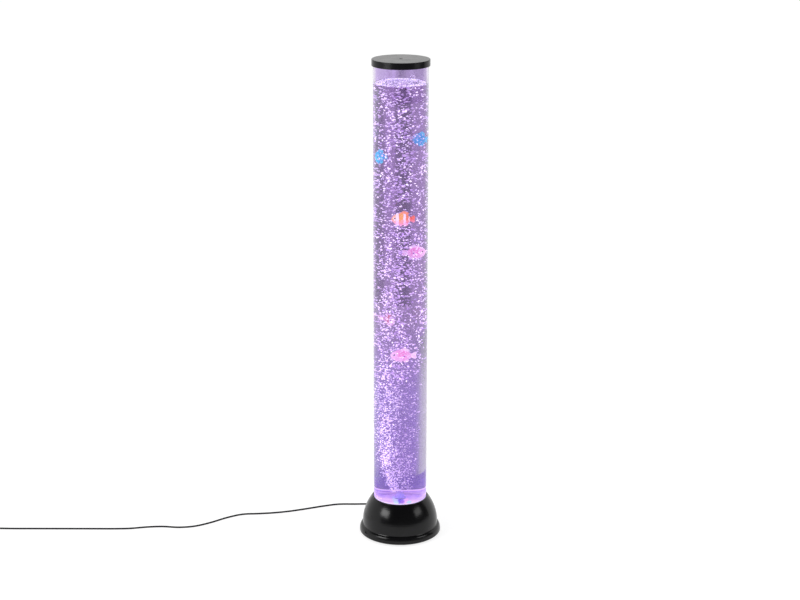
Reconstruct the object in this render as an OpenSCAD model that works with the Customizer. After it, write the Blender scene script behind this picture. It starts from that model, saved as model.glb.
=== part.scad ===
// Bubble tube floor lamp: a water-filled acrylic tube with fish, on a black base that holds an air pump.
// Origin: centre of the base on the floor. +Z is up and the mode button faces the front left (-X, -Y).

/* [Overall] */
// Height from the floor to the top of the lid
lamp_h = 1000; // [900:5:1200]
// Widest diameter of the base, at its parting line
base_d = 169.6; // [168:0.2:184]

/* [Tube] */
// Outer diameter of the acrylic tube
tube_od = 110; // [107:0.5:111]
// Wall of the acrylic tube
tube_wall = 3; // [2.5:0.25:4]
// Thickness of the clear disc that closes the tube's foot
disc_t = 14; // [10:1:18]
// Distance from the tube's rim down to the water
air_gap = 44; // [30:1:50]
// How deep the tube stands in the neck of the base
seat_depth = 15.5; // [13:0.5:17]

/* [Lid] */
// Height of the lid, top and skirt together
lid_h = 13; // [10:0.5:20]
// Thickness of the lid's top
lid_t = 3; // [2:0.25:5]
// Wall of the lid's skirt
lid_wall = 2.7; // [2:0.1:4]
// Length of the plug ring that hangs inside the tube
plug_h = 8; // [5:0.5:12]
// Diameter of the vent hole in the lid
vent_d = 7; // [4:0.5:10]

/* [Base shell] */
// Height of the neck above the floor
neck_h = 81.5; // [80:0.5:90]
// Wall of the neck outside the tube
neck_wall = 2.6; // [2.2:0.1:3.4]
// Radius of the dome's bulging side, seen from the side
dome_bulge_r = 94.7; // [85:0.1:130]
// Wall of the dome and the tray
shell = 2.5; // [2:0.1:2.8]
// Height of the parting line between dome and tray
part_z = 6.8; // [6.4:0.1:7.4]
// Height of the foot ring above the parting line
ring_h = 12.1; // [11.8:0.1:13.5]
// How far the foot ring stands out beyond the dome
ring_w = 5.85; // [5.6:0.05:7]
// Thickness of the ledge under the tube
ledge_t = 3; // [2.5:0.1:4]
// Thickness of the gasket between ledge and tube
gasket_t = 2; // [1.5:0.1:3]

/* [Feet] */
// Gap between the tray's underside and the floor
foot_gap = 1; // [0.8:0.1:1.6]
// Diameter of a rubber foot
foot_d = 14; // [10:0.5:16]
// Distance of the feet from the middle
foot_r = 62; // [59:0.5:64]
// Width of the gap that shows at the parting line
seam = 0.5; // [0.3:0.1:0.7]

/* [Mode button] */
// Direction of the mode button, seen from above
mode_angle = 212; // [200:1:224]
// Length of the button's face
button_l = 9; // [7:0.5:12]
// Height of the button's face
button_h = 3.5; // [3:0.1:3.6]
// Height of the button's middle above the floor
button_z = 14.5; // [14.2:0.1:14.6]
// Travel of the button
button_travel = 0.8; // [0.4:0.1:1]

/* [Air path] */
// Outer diameter of an air hose
hose_od = 5.4; // [4.8:0.1:6]
// Diameter of the nipples that the hoses are pushed on
nipple_d = 3; // [2.6:0.1:3.2]
// Radius of the hose bends
hose_bend = 10; // [9:0.25:10.5]
// Diameter of the threaded nozzle stem
stem_d = 8; // [7:0.25:10]
// Diameter of the perforated bubble head
head_d = 13; // [12:0.5:18]
// Diameter of the check valve
valve_d = 11; // [10:0.5:13]

/* [Pump] */
// Length of the pump housing
pump_l = 52; // [52:0.5:54]
// Width of the pump housing
pump_w = 36; // [36:0.5:39]
// Height of the pump housing without its cover
pump_h = 24; // [24:0.5:27]
// Wall of the pump housing
pump_wall = 2; // [1.6:0.1:2.2]
// Height of the rubber mounts under the pump
mount_h = 4; // [3:0.25:5]
// Diameter of the pivot pin of the arm
pivot_d = 3; // [2.5:0.1:3.4]
// Gap between the core and the magnet on the arm
magnet_gap = 1.8; // [1.7:0.1:2.2]

/* [Lights] */
// Number of LEDs on the ring board
led_count = 12; // [6:1:18]
// Radius of the LED circle
led_circle_r = 28; // [24:0.5:34]
// Thickness of the circuit boards
board_t = 1.6; // [1:0.1:2]

/* [Fish] */
// Length of the largest fish, the others follow from it
fish_l = 44; // [34:0.5:46]
// Thickness of a fish's body
fish_t = 9; // [6:0.5:10]

/* [Cord] */
// Diameter of the low-voltage cord
cord_d = 3.6; // [3:0.1:3.8]
// Length of the strain relief outside the base
relief_l = 20; // [15:0.5:23]
// Length of the adaptor
adaptor_l = 62; // [50:1:70]
// Width of the adaptor
adaptor_w = 42; // [36:1:44]
// Height of the adaptor without its pins
adaptor_h = 28; // [24:1:34]

/* [Hidden] */
$fn = 96;

// --- clearances ---
slip = 0.05;        // radial clearance of a pin, a stem or a glued joint
push_fit = 0.03;    // radial clearance round a screw's shank
ease = 0.4;         // radial clearance between the tube and the neck
lid_ease = 0.3;     // clearance of the lid inside and outside the tube
water_film = 0.3;   // clearance between the water and what stands or swims in it

// --- heights and radii of the tube and the shell ---
tube_r = tube_od / 2;
bore_r = tube_r - tube_wall;
rim_z = lamp_h - lid_t;
tube_z = neck_h - seat_depth;
disc_top = tube_z + disc_t;
water_z = rim_z - air_gap;
collar_r = tube_r + ease;
neck_r = collar_r + neck_wall;
ledge_top = tube_z - gasket_t;
ledge_z = ledge_top - ledge_t;
ledge_in = bore_r - 10;
base_r = base_d / 2;
ring_r = base_r - ring_w;
dome_foot = [ring_r - 0.5, part_z + ring_h + 1];
edge_r = 0.7;
dome_top = [neck_r, neck_h - edge_r];
tray_flat_r = base_r - 11.15;
tray_top = foot_gap + shell;
tray_edge_z = part_z - seam;

// --- screws: shank radius, head radius, head height ---
big_screw = [1.5, 3, 2];
small_screw = [1.1, 2.1, 1.4];

// --- posts that join the dome to the tray ---
post_r = 65;
post_d = 8;
post_z = tray_top + 2;
post_angles = [for (i = [0:3]) mode_angle + 45 + 90 * i];
foot_angles = [for (i = [0:3]) mode_angle + 90 * i];
foot_recess = 0.8;

// --- ring board under the ledge ---
boss_r = bore_r - 4;
boss_angles = [90, 210, 330];
tube_screw_angles = [30, 150, 270];
tube_screw_r = bore_r - 6.5;
led_board_z = ledge_z - 7;
led_board_top = led_board_z + board_t;

// --- nozzle ---
stem_r = stem_d / 2;
seal_t = 1.2;
flange_r = stem_r + 5;
flange_t = 2;
nozzle_top = disc_top + seal_t + flange_t;
nut_t = 4;
stem_z = tube_z - seal_t - nut_t - 4;
spigot_h = 4;
nipple_r = nipple_d / 2;
nipple_l = 7;
air_bore_r = 0.9;
head_wall = 1.5;
head_h = spigot_h + 4.5;

// --- pump, in a frame that starts at the housing's lower corner ---
pump_angle = mode_angle - 180;
pump_x = 12;
pump_v0 = 9;            // distance from the housing's side to the nipple's axis
pump_z = tray_top + mount_h;
nipple_w = 11;          // height of the nipple and of the moving parts above the housing's underside
air_z = pump_z + nipple_w;
cover_t = 2;
block_u = pump_wall + 4;
block_l = 18;
block_v = pump_wall + 0.3;
block_d = 13;
block_h = 16;
membrane_u = block_u + block_l / 2;
membrane_r = 7.5;
membrane_l = 6.3;
arm_v = block_v + block_d + membrane_l;
arm_t = 1.4;
arm_h = 8;
pivot_r = pivot_d / 2;
pivot_u = pump_wall + 3;
pivot_v = arm_v + arm_t / 2;
eye_r = pivot_r + 1.5;
core_u = block_u + block_l + 5;
core_w = 20;
core_h = 10;
leg_w = 4;
mid_leg_w = 5;
core_back = 4.2;
magnet_t = 2.6;
core_end = arm_v - magnet_t - magnet_gap;
core_mid = core_u + core_w / 2;
core_z = nipple_w - core_h / 2;
bobbin_wall = 0.8;
winding = 2.1;
pump_screw_at = [[4.5, pump_w - 4.5], [pump_l - 4.5, pump_w - 4.5], [core_u - 2.5, 4.6]];
pump_mount_at = [[6, 6], [pump_l - 6, 6], [6, pump_w - 6], [pump_l - 6, pump_w - 6]];

// --- check valve, along the air line towards the middle of the base ---
valve_r = valve_d / 2;
pump_nipple_end = pump_x - 7;
valve_start = pump_nipple_end - 2;
half_h = 5;
chamber_r = valve_r - 1.5;
chamber_h = 3.4;
seat_h = 0.6;
valve_disc_t = 0.8;
valve_travel = 1.1;
valve_l = 2 * nipple_l + 2 * half_h + 1;
hose_r = hose_od / 2;
hose_bore_r = nipple_r + slip;
turn_x = valve_start - valve_l - 5;
upper_run_z = air_z + 2 * hose_bend;

// --- control board, in a frame that points at the mode button ---
board_x = 30;
board_l = 36;
board_w = 40;
board_z = tray_top + 6.5;
board_top = board_z + board_t;
board_screw_at = [[33, 17], [33, -17], [60, 17], [60, -17]];
socket_l = 6;
socket_w = 7;
socket_h = 6;
socket_mid = board_top + socket_h / 2;
led_socket_y = -9.5;
pump_socket_y = 7.5;
supply_socket_x = 50;
switch_x = 60;
switch_l = 5.5;
switch_w = 6.4;
plunger_r = 1.7;
plunger_out = 1.8;
stem_x = switch_x + switch_l + plunger_out;
flange_x = base_r - 7.2;
face_x = base_r - 2.2;
slot_gap = 0.2;

// --- strain relief and cord ---
exit_z = 11;
relief_seat = base_r - 1.6;
relief_back = relief_seat - 2.2;
relief_end = relief_seat + relief_l;
relief_r = 3.3;
cord_r = cord_d / 2;

// The cord's route over the floor, from the relief to the coil (lamp's centre is the origin)
cord_route = [
    [0, relief_end, 11], [0, 108, 11], [-1, 116, 9], [-6, 126, 5], [-18, 134, 2.2], [-40, 136, 1.9],
    [-70, 135, 1.9], [-100, 134, 1.9], [-135, 133, 1.9], [-169, 122, 1.9], [-203, 108, 1.9],
    [-237, 95, 1.9], [-271, 86, 1.9], [-305, 81, 1.9], [-340, 77, 1.9], [-372, 59, 1.9],
    [-404, 33, 1.9], [-436, 14, 1.9], [-469, 8, 1.9], [-504, 12, 1.9], [-537, 9, 1.9],
    [-570, 2, 1.9], [-604, 0, 1.9], [-645, 0, 1.9], [-690, 0, 1.9], [-735, 0, 1.9], [-780, 0, 1.9],
    [-820, 0, 1.9], [-860, 0, 2.6], [-884, 0, 3], [-888, 0, 3]
];
steps_between = 3;

// The coil: loops that spiral in on the lower layer and out again on the upper one
loop_pitch = 4.2;
coil_turns = 6.25;
coil_low_z = 3;
coil_high_z = coil_low_z + loop_pitch;
coil_out_r = 28;
coil_mid_turn = coil_turns / 2;
coil_start = cord_route[len(cord_route) - 1];
coil_cx = coil_start[0] - cord_d;
coil_cy = coil_start[1] + coil_out_r;
rings_per_loop = 24;
coil_tail = 22;
tie_t = 0.8;
tie_w = 6;

// --- adaptor ---
adaptor_x = coil_cx - coil_out_r;
adaptor_relief_l = 18;
adaptor_relief_y = coil_cy + coil_tail;
adaptor_y = adaptor_relief_y + adaptor_relief_l;
adaptor_split = adaptor_h * 0.6;
plug_pin_r = 2;
plug_pin_l = 19;
plug_pin_gap = 19;

// --- fish: place of the middle, heading, length as a part of fish_l, height as a part of the length ---
swim_blue_upper = [[25, 26, 838], -50, 0.8, 0.78];
swim_blue_lower = [[-31, 0, 806], 37, 0.78, 0.78];
swim_striped = [[5.5, -29, 686], 0, 0.95, 0.66];
swim_pink_upper = [[20.5, 1, 611], 180, 0.86, 0.72];
swim_red = [[-15, 27, 463], 110, 0.8, 0.7];
swim_pink_lower = [[6, -14.5, 397], 0, 1, 0.62];

// ---------------------------------------------------------------- curves and sweeps

// Centre of the arc of radius r that bulges outwards from a down to b
function arc_centre(a, b, r) =
    let (d = b - a, l = norm(d))
    (a + b) / 2 + sqrt(r * r - l * l / 4) * [d[1], -d[0]] / l;

// Points of that arc, moved inwards by inset
function arc_points(a, b, r, inset, n) =
    let (c = arc_centre(a, b, r), from = atan2(a[1] - c[1], a[0] - c[0]), to = atan2(b[1] - c[1], b[0] - c[0]))
    [for (i = [0:n]) let (t = from + (to - from) * i / n) c + (r - inset) * [cos(t), sin(t)]];

// Points of a quarter ellipse from its top (0 degrees) to its side (90 degrees)
function quarter_points(c, rx, rz, n) = [for (i = [0:n]) [c[0] + rx * sin(90 * i / n), c[1] + rz * cos(90 * i / n)]];

function reversed(list) = [for (i = [len(list) - 1:-1:0]) list[i]];

function unit(v) = v / norm(v);

// One point of a smooth curve through p1 and p2
function smooth_point(p0, p1, p2, p3, t) =
    0.5 * (2 * p1 + (p2 - p0) * t + (2 * p0 - 5 * p1 + 4 * p2 - p3) * t * t
    + (3 * p1 - p0 - 3 * p2 + p3) * t * t * t);

// A smooth curve through every route point, with straight first and last stretches
function smooth_route(p, steps) =
    let (last = len(p) - 1)
    concat(
        [p[0]],
        [for (i = [1:last - 2], k = [0:steps - 1]) smooth_point(p[i - 1], p[i], p[i + 1], p[i + 2], k / steps)],
        [p[last - 1], p[last]]
    );

// A point of the control board's frame, seen in the lamp's frame
function on_board(x, y, z) =
    [x * cos(mode_angle) - y * sin(mode_angle), x * sin(mode_angle) + y * cos(mode_angle), z];

// Direction of a path at its point i
function heading_at(path, i) =
    unit(path[min(i + 1, len(path) - 1)] - path[max(i - 1, 0)]);

// The ring of a tube round a path at its point i
function ring_points(path, i, r, sides) =
    let (t = heading_at(path, i), side = unit(cross(t, abs(t[2]) > 0.9 ? [1, 0, 0] : [0, 0, 1])), up = cross(side, t))
    [for (k = [0:sides - 1]) path[i] + r * (cos(360 * (k + 0.5) / sides) * side + sin(360 * (k + 0.5) / sides) * up)];

// Closed skin over rings that all have the same number of points
module loft(rings) {
    sides = len(rings[0]);
    last = len(rings) - 1;
    polyhedron(
        points = [for (ring = rings) each ring],
        faces = concat(
            [[for (k = [sides - 1:-1:0]) k]],
            [[for (k = [0:sides - 1]) last * sides + k]],
            [for (i = [0:last - 1], k = [0:sides - 1], half = [0, 1])
                let (a = i * sides + k, b = i * sides + (k + 1) % sides)
                half == 0 ? [a, b, b + sides] : [a, b + sides, a + sides]]
        )
    );
}

module sweep(path, r, sides) {
    loft([for (i = [0:len(path) - 1]) ring_points(path, i, r, sides)]);
}

// The coil's centre line: straight in, round and round, straight out
function coil_radius(t) =
    let (away = abs(t - coil_mid_turn), soft = 0.25)
    coil_out_r - loop_pitch * (coil_mid_turn - (away > soft ? away : (away * away + soft * soft) / (2 * soft)));
function coil_height(t) =
    let (s = min(1, max(0, (t - coil_mid_turn) / 0.5 + 0.5)))
    coil_low_z + (coil_high_z - coil_low_z) * s * s * (3 - 2 * s);
function coil_point(t) =
    [coil_cx + coil_radius(t) * cos(-90 - 360 * t), coil_cy + coil_radius(t) * sin(-90 - 360 * t), coil_height(t)];
coil_rings = coil_turns * rings_per_loop;
coil_path = concat(
    [coil_start],
    [for (i = [0:coil_rings]) coil_point(i / rings_per_loop)],
    [coil_point(coil_turns) + [0, coil_tail - cord_d, 0], coil_point(coil_turns) + [0, coil_tail, 0]]
);
cord_path = smooth_route(cord_route, steps_between);

function path_length(p, i = 0) = i >= len(p) - 1 ? 0 : norm(p[i + 1] - p[i]) + path_length(p, i + 1);
coil_gap = min([for (i = [0:coil_rings - 12], j = [i + 12:coil_rings + 1]) norm(coil_path[i] - coil_path[j])]) - cord_d;
echo(cord_length = path_length(cord_path) + path_length(coil_path), coil_gap = coil_gap);

// ---------------------------------------------------------------- small helpers

module tube_ring(outer, inner, h) {
    difference() {
        cylinder(r = outer, h = h);
        translate([0, 0, -1]) cylinder(r = inner, h = h + 2);
    }
}

module rounded_rect(w, h, r) {
    square([w - 2 * r, h], center = true);
    square([w, h - 2 * r], center = true);
    for (x = [-1, 1], y = [-1, 1]) translate([x * (w / 2 - r), y * (h / 2 - r)]) circle(r, $fn = 48);
}

// A block whose upright edges are round, from its lower corner
module round_block(l, w, h, r) {
    translate([l / 2, w / 2, 0]) linear_extrude(h) rounded_rect(l, w, r);
}

// A pan-head screw that points up, with its head below z = 0
module screw(kind, l) {
    cylinder(r = kind[0], h = l, $fn = 32);
    difference() {
        translate([0, 0, -kind[2]]) cylinder(r = kind[1], h = kind[2], $fn = 32);
        for (a = [0, 90]) rotate([0, 0, a])
            translate([-kind[1] * 0.6, -kind[0] * 0.2, -kind[2] - 1]) cube([kind[1] * 1.2, kind[0] * 0.4, 1 + kind[2] * 0.5]);
    }
}

module pilot(kind, l) {
    cylinder(r = kind[0] + push_fit, h = l, $fn = 32);
}

// Things repeated round the middle of the base
module around(angles, r) {
    for (a = angles) rotate([0, 0, a]) translate([r, 0, 0]) children();
}

// A bar along Y from v to v + l, with its outline drawn in X and Z
module along_y(v, l) {
    translate([0, v + l, 0]) rotate([90, 0, 0]) linear_extrude(l) children();
}

module pump_frame() {
    rotate([0, 0, pump_angle]) translate([pump_x, -pump_v0, pump_z]) children();
}

module board_frame() {
    rotate([0, 0, mode_angle]) children();
}

// The air line lies along the pump's nipple; z in here runs towards the middle of the base
module air_line(x) {
    rotate([0, 0, pump_angle]) translate([x, 0, air_z]) rotate([0, -90, 0]) children();
}

// ---------------------------------------------------------------- tube and lid

module lid() {
    top_edge = 1.2;
    skirt_r = tube_r + lid_ease;
    outer_r = skirt_r + lid_wall;
    plug_r = bore_r - lid_ease;
    color("#17171a") difference() {
        rotate_extrude() union() {
            polygon(concat(
                [[0, lamp_h]],
                [for (i = [0:5]) [outer_r - top_edge + top_edge * sin(18 * i), lamp_h - top_edge + top_edge * cos(18 * i)]],
                [[outer_r, lamp_h - lid_h + 0.4], [outer_r - 0.4, lamp_h - lid_h], [skirt_r + 0.6, lamp_h - lid_h],
                 [skirt_r, lamp_h - lid_h + 0.9], [skirt_r, rim_z], [0, rim_z]]
            ));
            polygon([[plug_r, rim_z + 1], [plug_r, rim_z - plug_h + 1], [plug_r - 0.7, rim_z - plug_h],
                     [plug_r - 2, rim_z - plug_h], [plug_r - 2, rim_z + 1]]);
        }
        translate([0, 0, rim_z - 1]) cylinder(d = vent_d, h = lid_t + 2);
    }
    color("#17171a") for (a = [0:60:300]) rotate([0, 0, a])
        translate([vent_d / 2 + 3, -0.8, rim_z - 2]) cube([plug_r - 1 - vent_d / 2 - 3, 1.6, 2.2]);
}

module tube() {
    color([0.8, 0.8, 0.95, 0.35]) translate([0, 0, tube_z]) tube_ring(tube_r, bore_r, rim_z - tube_z);
}

module tube_bottom_disc() {
    color([0.85, 0.85, 0.98, 0.5]) difference() {
        translate([0, 0, tube_z]) cylinder(r = bore_r - slip, h = disc_t);
        translate([0, 0, tube_z - 1]) cylinder(r = stem_r + slip, h = disc_t + 2);
        around(tube_screw_angles, tube_screw_r) translate([0, 0, tube_z - 1]) pilot(big_screw, 8);
    }
}

module seat_gasket() {
    color("#3a3a3d") translate([0, 0, ledge_top]) tube_ring(tube_r - 0.4, bore_r - 2.5, gasket_t);
}

module tube_screws() {
    color("silver") around(tube_screw_angles, tube_screw_r) translate([0, 0, ledge_z])
        screw(big_screw, ledge_t + gasket_t + 6);
}

module water() {
    color([0.55, 0.35, 0.95, 0.4]) difference() {
        translate([0, 0, disc_top + slip]) cylinder(r = bore_r - slip, h = water_z - disc_top - slip);
        translate([0, 0, disc_top - 1]) cylinder(r = flange_r + water_film, h = 1 + seal_t + flange_t + water_film);
        translate([0, 0, disc_top]) cylinder(d = head_d + 2 * water_film, h = seal_t + flange_t + head_h + water_film);
        swimming(swim_blue_upper, water_film);
        swimming(swim_blue_lower, water_film);
        swimming(swim_striped, water_film);
        swimming(swim_pink_upper, water_film);
        swimming(swim_red, water_film);
        swimming(swim_pink_lower, water_film);
    }
}

// ---------------------------------------------------------------- air nozzle

module air_nozzle() {
    color("#e6e6ee") difference() {
        union() {
            translate([0, 0, disc_top + seal_t]) cylinder(r = flange_r, h = flange_t);
            translate([0, 0, stem_z]) cylinder(r = stem_r, h = disc_top + seal_t - stem_z);
            translate([0, 0, stem_z - nipple_l]) cylinder(r = nipple_r, h = nipple_l + 0.5);
            translate([0, 0, nozzle_top - 0.5]) cylinder(r = stem_r - 1, h = spigot_h + 0.5);
        }
        translate([0, 0, stem_z - nipple_l - 1]) cylinder(r = air_bore_r, h = nozzle_top + spigot_h - stem_z + nipple_l + 2);
    }
}

module nozzle_seals() {
    color("#2b2b2e") for (z = [disc_top, tube_z - seal_t]) translate([0, 0, z]) tube_ring(flange_r - 0.5, stem_r + slip, seal_t);
}

module nozzle_nut() {
    color("#d8d8e0") translate([0, 0, tube_z - seal_t - nut_t]) difference() {
        cylinder(r = flange_r, h = nut_t, $fn = 6);
        translate([0, 0, -1]) cylinder(r = stem_r + slip, h = nut_t + 2);
    }
}

module bubble_head() {
    head_r = head_d / 2;
    spigot_r = stem_r - 1 + slip;
    color("#eeeef4") translate([0, 0, nozzle_top]) difference() {
        rotate_extrude() polygon(concat(
            [[0, 0], [head_r, 0], [head_r, head_h - 3]],
            [for (i = [1:5]) [head_r - 3 + 3 * cos(18 * i), head_h - 3 + 3 * sin(18 * i)]],
            [[0, head_h]]
        ));
        translate([0, 0, -1]) cylinder(r = spigot_r, h = spigot_h + 1.2);
        translate([0, 0, spigot_h]) cylinder(r = head_r - head_wall - 1, h = head_h - spigot_h - head_wall);
        for (a = [0:45:315]) rotate([0, 0, a]) translate([0, 0, spigot_h + 1.5]) rotate([0, 90, 0])
            cylinder(d = 1, h = head_r + 1, $fn = 24);
        for (a = [0:72:288]) rotate([0, 0, a]) translate([2.4, 0, spigot_h]) cylinder(d = 1, h = head_h, $fn = 24);
    }
}

// ---------------------------------------------------------------- fish

// A fish that looks towards -X; grow makes the hollow that it leaves in the water
module fish(l, h, t, grow) {
    body_l = 0.76 * l;
    n = 9;
    sides = 12;
    nose = -l / 2;
    loft([for (i = [0:n])
        let (s = i / n, wave = sin(180 * pow(0.02 + 0.93 * s, 0.8)), bow = 0.18 * s)
        let (half_h = h / 2 * (0.82 * pow(wave, 0.75) + bow) + grow, half_t = t / 2 * (0.9 * pow(wave, 0.7) + bow / 2) + grow)
        [for (k = [0:sides - 1])
            [nose + body_l * s + (i == 0 ? -grow : i == n ? grow : 0),
             -half_t * cos(360 * k / sides), half_h * sin(360 * k / sides)]]
    ]);
    for (outline = [
        [[0.2, 0.03], [0.27, 0.1], [0.5, 0.17], [0.5, -0.17], [0.27, -0.1], [0.2, -0.03]],
        [[-0.2, 0.3 * h / l], [-0.02, 0.47 * h / l + 0.1], [0.2, 0.4 * h / l + 0.06], [0.16, 0.12]],
        [[-0.02, -0.3 * h / l], [0.06, -0.42 * h / l - 0.08], [0.18, -0.36 * h / l - 0.05], [0.17, -0.1]]
    ]) along_y(-0.6 - grow, 1.2 + 2 * grow) fin_outline(l * outline, grow);
    for (side = [-1, 1]) translate([-0.12 * l, side * t * 0.38, -0.08 * h]) rotate([0, 0, side * 24])
        along_y(-0.5 - grow, 1 + 2 * grow) fin_outline(l * [[0, 0.035], [0.13, 0.06], [0.15, -0.02], [0, -0.045]], grow);
}

module fin_outline(points, grow) {
    if (grow > 0) offset(delta = grow) polygon(points);
    else polygon(points);
}

module swimming(swim, grow) {
    l = fish_l * swim[2];
    translate(swim[0]) rotate([0, 0, swim[1]]) fish(l, l * swim[3], fish_t, grow);
}

module fish_blue_upper() { color("#3f7fe8") swimming(swim_blue_upper, 0); }
module fish_blue_lower() { color("#3b74e0") swimming(swim_blue_lower, 0); }
module fish_striped() { color("#f0783a") swimming(swim_striped, 0); }
module fish_pink_upper() { color("#f2b4dc") swimming(swim_pink_upper, 0); }
module fish_red() { color("#d8434a") swimming(swim_red, 0); }
module fish_pink_lower() { color("#efa6d6") swimming(swim_pink_lower, 0); }

// ---------------------------------------------------------------- base shell

module dome_section(inset) {
    polygon(concat(
        [[0, part_z], [0, neck_h - inset]],
        [[neck_r - inset, neck_h - inset]],
        arc_points(dome_top, dome_foot, dome_bulge_r, inset, 16),
        quarter_points([ring_r, part_z], ring_w - inset, ring_h - inset, 8)
    ));
}

module dome_shell() {
    pocket_top = neck_h - shell - 2;
    difference() {
        rotate_extrude() union() {
            difference() {
                polygon(concat(
                    [[0, part_z], [0, neck_h], [neck_r - edge_r, neck_h], [neck_r - 0.3 * edge_r, neck_h - 0.3 * edge_r]],
                    arc_points(dome_top, dome_foot, dome_bulge_r, 0, 16),
                    quarter_points([ring_r, part_z], ring_w, ring_h, 8)
                ));
                polygon(concat(
                    [[0, part_z - 1], [0, pocket_top], [neck_r - 2 * shell, pocket_top]],
                    [for (p = arc_points(dome_top, dome_foot, dome_bulge_r, shell, 16)) if (p[1] < pocket_top) p],
                    quarter_points([ring_r, part_z], ring_w - shell, ring_h - shell, 8),
                    [[base_r - shell, part_z - 1]]
                ));
            }
            translate([ledge_in, ledge_z]) square([neck_r - ledge_in, ledge_t]);
            translate([collar_r, ledge_z]) square([neck_wall, neck_h - shell - ledge_z]);
        }
        translate([0, 0, ledge_top]) cylinder(r = collar_r, h = neck_h);
        translate([0, 0, ledge_z - 1]) cylinder(r = ledge_in, h = neck_h);
    }
}

module dome() {
    color("#0d0d0f") difference() {
        union() {
            dome_shell();
            intersection() {
                union() {
                    around(post_angles, post_r) translate([0, 0, post_z]) cylinder(d = post_d, h = neck_h);
                    for (a = [30:60:330]) rotate([0, 0, a])
                        translate([collar_r + neck_wall / 2, -1, ledge_z - 16]) cube([40, 2, neck_h]);
                }
                rotate_extrude() dome_section(shell / 2);
            }
            around(boss_angles, boss_r) translate([0, 0, led_board_top]) cylinder(d = 7, h = ledge_z - led_board_top + 1);
        }
        around(post_angles, post_r) translate([0, 0, post_z - 1]) pilot(big_screw, 16);
        around(boss_angles, boss_r) translate([0, 0, led_board_top - 1]) pilot(small_screw, 8);
        around(tube_screw_angles, tube_screw_r) translate([0, 0, ledge_z - 1])
            cylinder(r = big_screw[0] + 0.2, h = ledge_t + 2, $fn = 32);
        board_frame() translate([flange_x - 4, 0, button_z]) rotate([0, 90, 0])
            linear_extrude(20) rounded_rect(button_h + 2 * slot_gap, button_l + 2 * slot_gap, button_h / 2 + slot_gap - 0.01);
        translate([0, relief_back - 5, exit_z]) rotate([-90, 0, 0]) cylinder(r = relief_r + slip, h = 20, $fn = 48);
        translate([0, relief_seat, exit_z]) rotate([-90, 0, 0]) cylinder(r = relief_r + 1 + slip, h = 10, $fn = 48);
        translate([0, relief_back - 5, exit_z]) rotate([-90, 0, 0]) cylinder(r = relief_r + 1.2, h = 5, $fn = 48);
    }
}

module base_tray() {
    rim_out = base_r - shell - 0.7;
    color("#111113") difference() {
        union() {
            rotate_extrude() polygon(concat(
                [[0, foot_gap]],
                [for (i = [0:8]) [tray_flat_r + (base_r - tray_flat_r) * sin(90 * i / 8),
                    foot_gap + (tray_edge_z - foot_gap) * (1 - cos(90 * i / 8))]],
                [for (i = [8:-1:0]) [tray_flat_r + (base_r - shell - tray_flat_r) * sin(90 * i / 8),
                    tray_top + (tray_edge_z - tray_top) * (1 - cos(90 * i / 8))]],
                [[0, tray_top]]
            ));
            translate([0, 0, tray_top]) tube_ring(rim_out, rim_out - 2.2, part_z + 3.2 - tray_top);
            around(post_angles, post_r) translate([0, 0, foot_gap]) cylinder(d = 11, h = post_z - foot_gap);
            board_frame() for (p = board_screw_at) translate([p[0], p[1], foot_gap]) cylinder(d = 6, h = board_z - foot_gap);
            pump_frame() for (p = pump_mount_at) translate([p[0], p[1], foot_gap - pump_z])
                tube_ring(5.4, 4.2, shell + 1.5);
            pump_frame() for (p = pump_mount_at) translate([p[0], p[1], foot_gap - pump_z]) cylinder(r = 5, h = shell);
        }
        around(foot_angles, foot_r) cylinder(d = foot_d + 0.2, h = foot_gap + foot_recess);
        around(post_angles, post_r) {
            cylinder(r = big_screw[1] + 0.5, h = foot_gap + big_screw[2] + 0.3);
            cylinder(r = big_screw[0] + 0.2, h = post_z + 1, $fn = 32);
        }
        board_frame() for (p = board_screw_at) translate([p[0], p[1], board_z - 5]) pilot(small_screw, 6);
        board_frame() for (side = [-1, 1], x = [-12:6:12]) translate([x - 1.2, side * 40 - 9, 0]) cube([2.4, 18, 9]);
        translate([-relief_r - 3, 0, exit_z - relief_r - 2]) cube([2 * relief_r + 6, base_r - shell, 20]);
    }
}

module rubber_feet() {
    color("#1d1d1f") around(foot_angles, foot_r) rotate_extrude()
        polygon([[0, 0], [foot_d / 2 - 0.6, 0], [foot_d / 2, 0.6], [foot_d / 2, foot_gap + foot_recess], [0, foot_gap + foot_recess]]);
}

module base_screws() {
    head_z = foot_gap + big_screw[2] + 0.3;
    color("silver") around(post_angles, post_r) translate([0, 0, head_z]) screw(big_screw, post_z - head_z + 12);
}

// ---------------------------------------------------------------- lights

module led_board() {
    color("#f2f2ee") difference() {
        translate([0, 0, led_board_z]) tube_ring(boss_r + 4, 16, board_t);
        around(boss_angles, boss_r) translate([0, 0, led_board_z - 1]) cylinder(r = small_screw[0] + 0.2, h = board_t + 2, $fn = 32);
    }
}

module leds() {
    for (i = [0:led_count - 1]) rotate([0, 0, 360 * i / led_count + 15]) translate([led_circle_r, 0, led_board_top]) {
        color("#f4f0dc") difference() {
            translate([-2.5, -2.5, 0]) cube([5, 5, 1.6]);
            translate([0, 0, 1.2]) cylinder(r = 1.9, h = 1, $fn = 32);
        }
    }
}

module led_board_screws() {
    color("silver") around(boss_angles, boss_r) translate([0, 0, led_board_z]) screw(small_screw, board_t + 5);
}

module control_board() {
    color("#1f6b3a") board_frame() difference() {
        translate([board_x, -board_w / 2, board_z]) cube([board_l, board_w, board_t]);
        for (p = board_screw_at) translate([p[0], p[1], board_z - 1]) cylinder(r = small_screw[0] + 0.2, h = board_t + 2, $fn = 32);
    }
}

// A board socket that is open towards +X
module socket() {
    difference() {
        cube([socket_l, socket_w, socket_h]);
        translate([1, 1, 1]) cube([socket_l, socket_w - 2, socket_h - 2]);
    }
}

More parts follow.
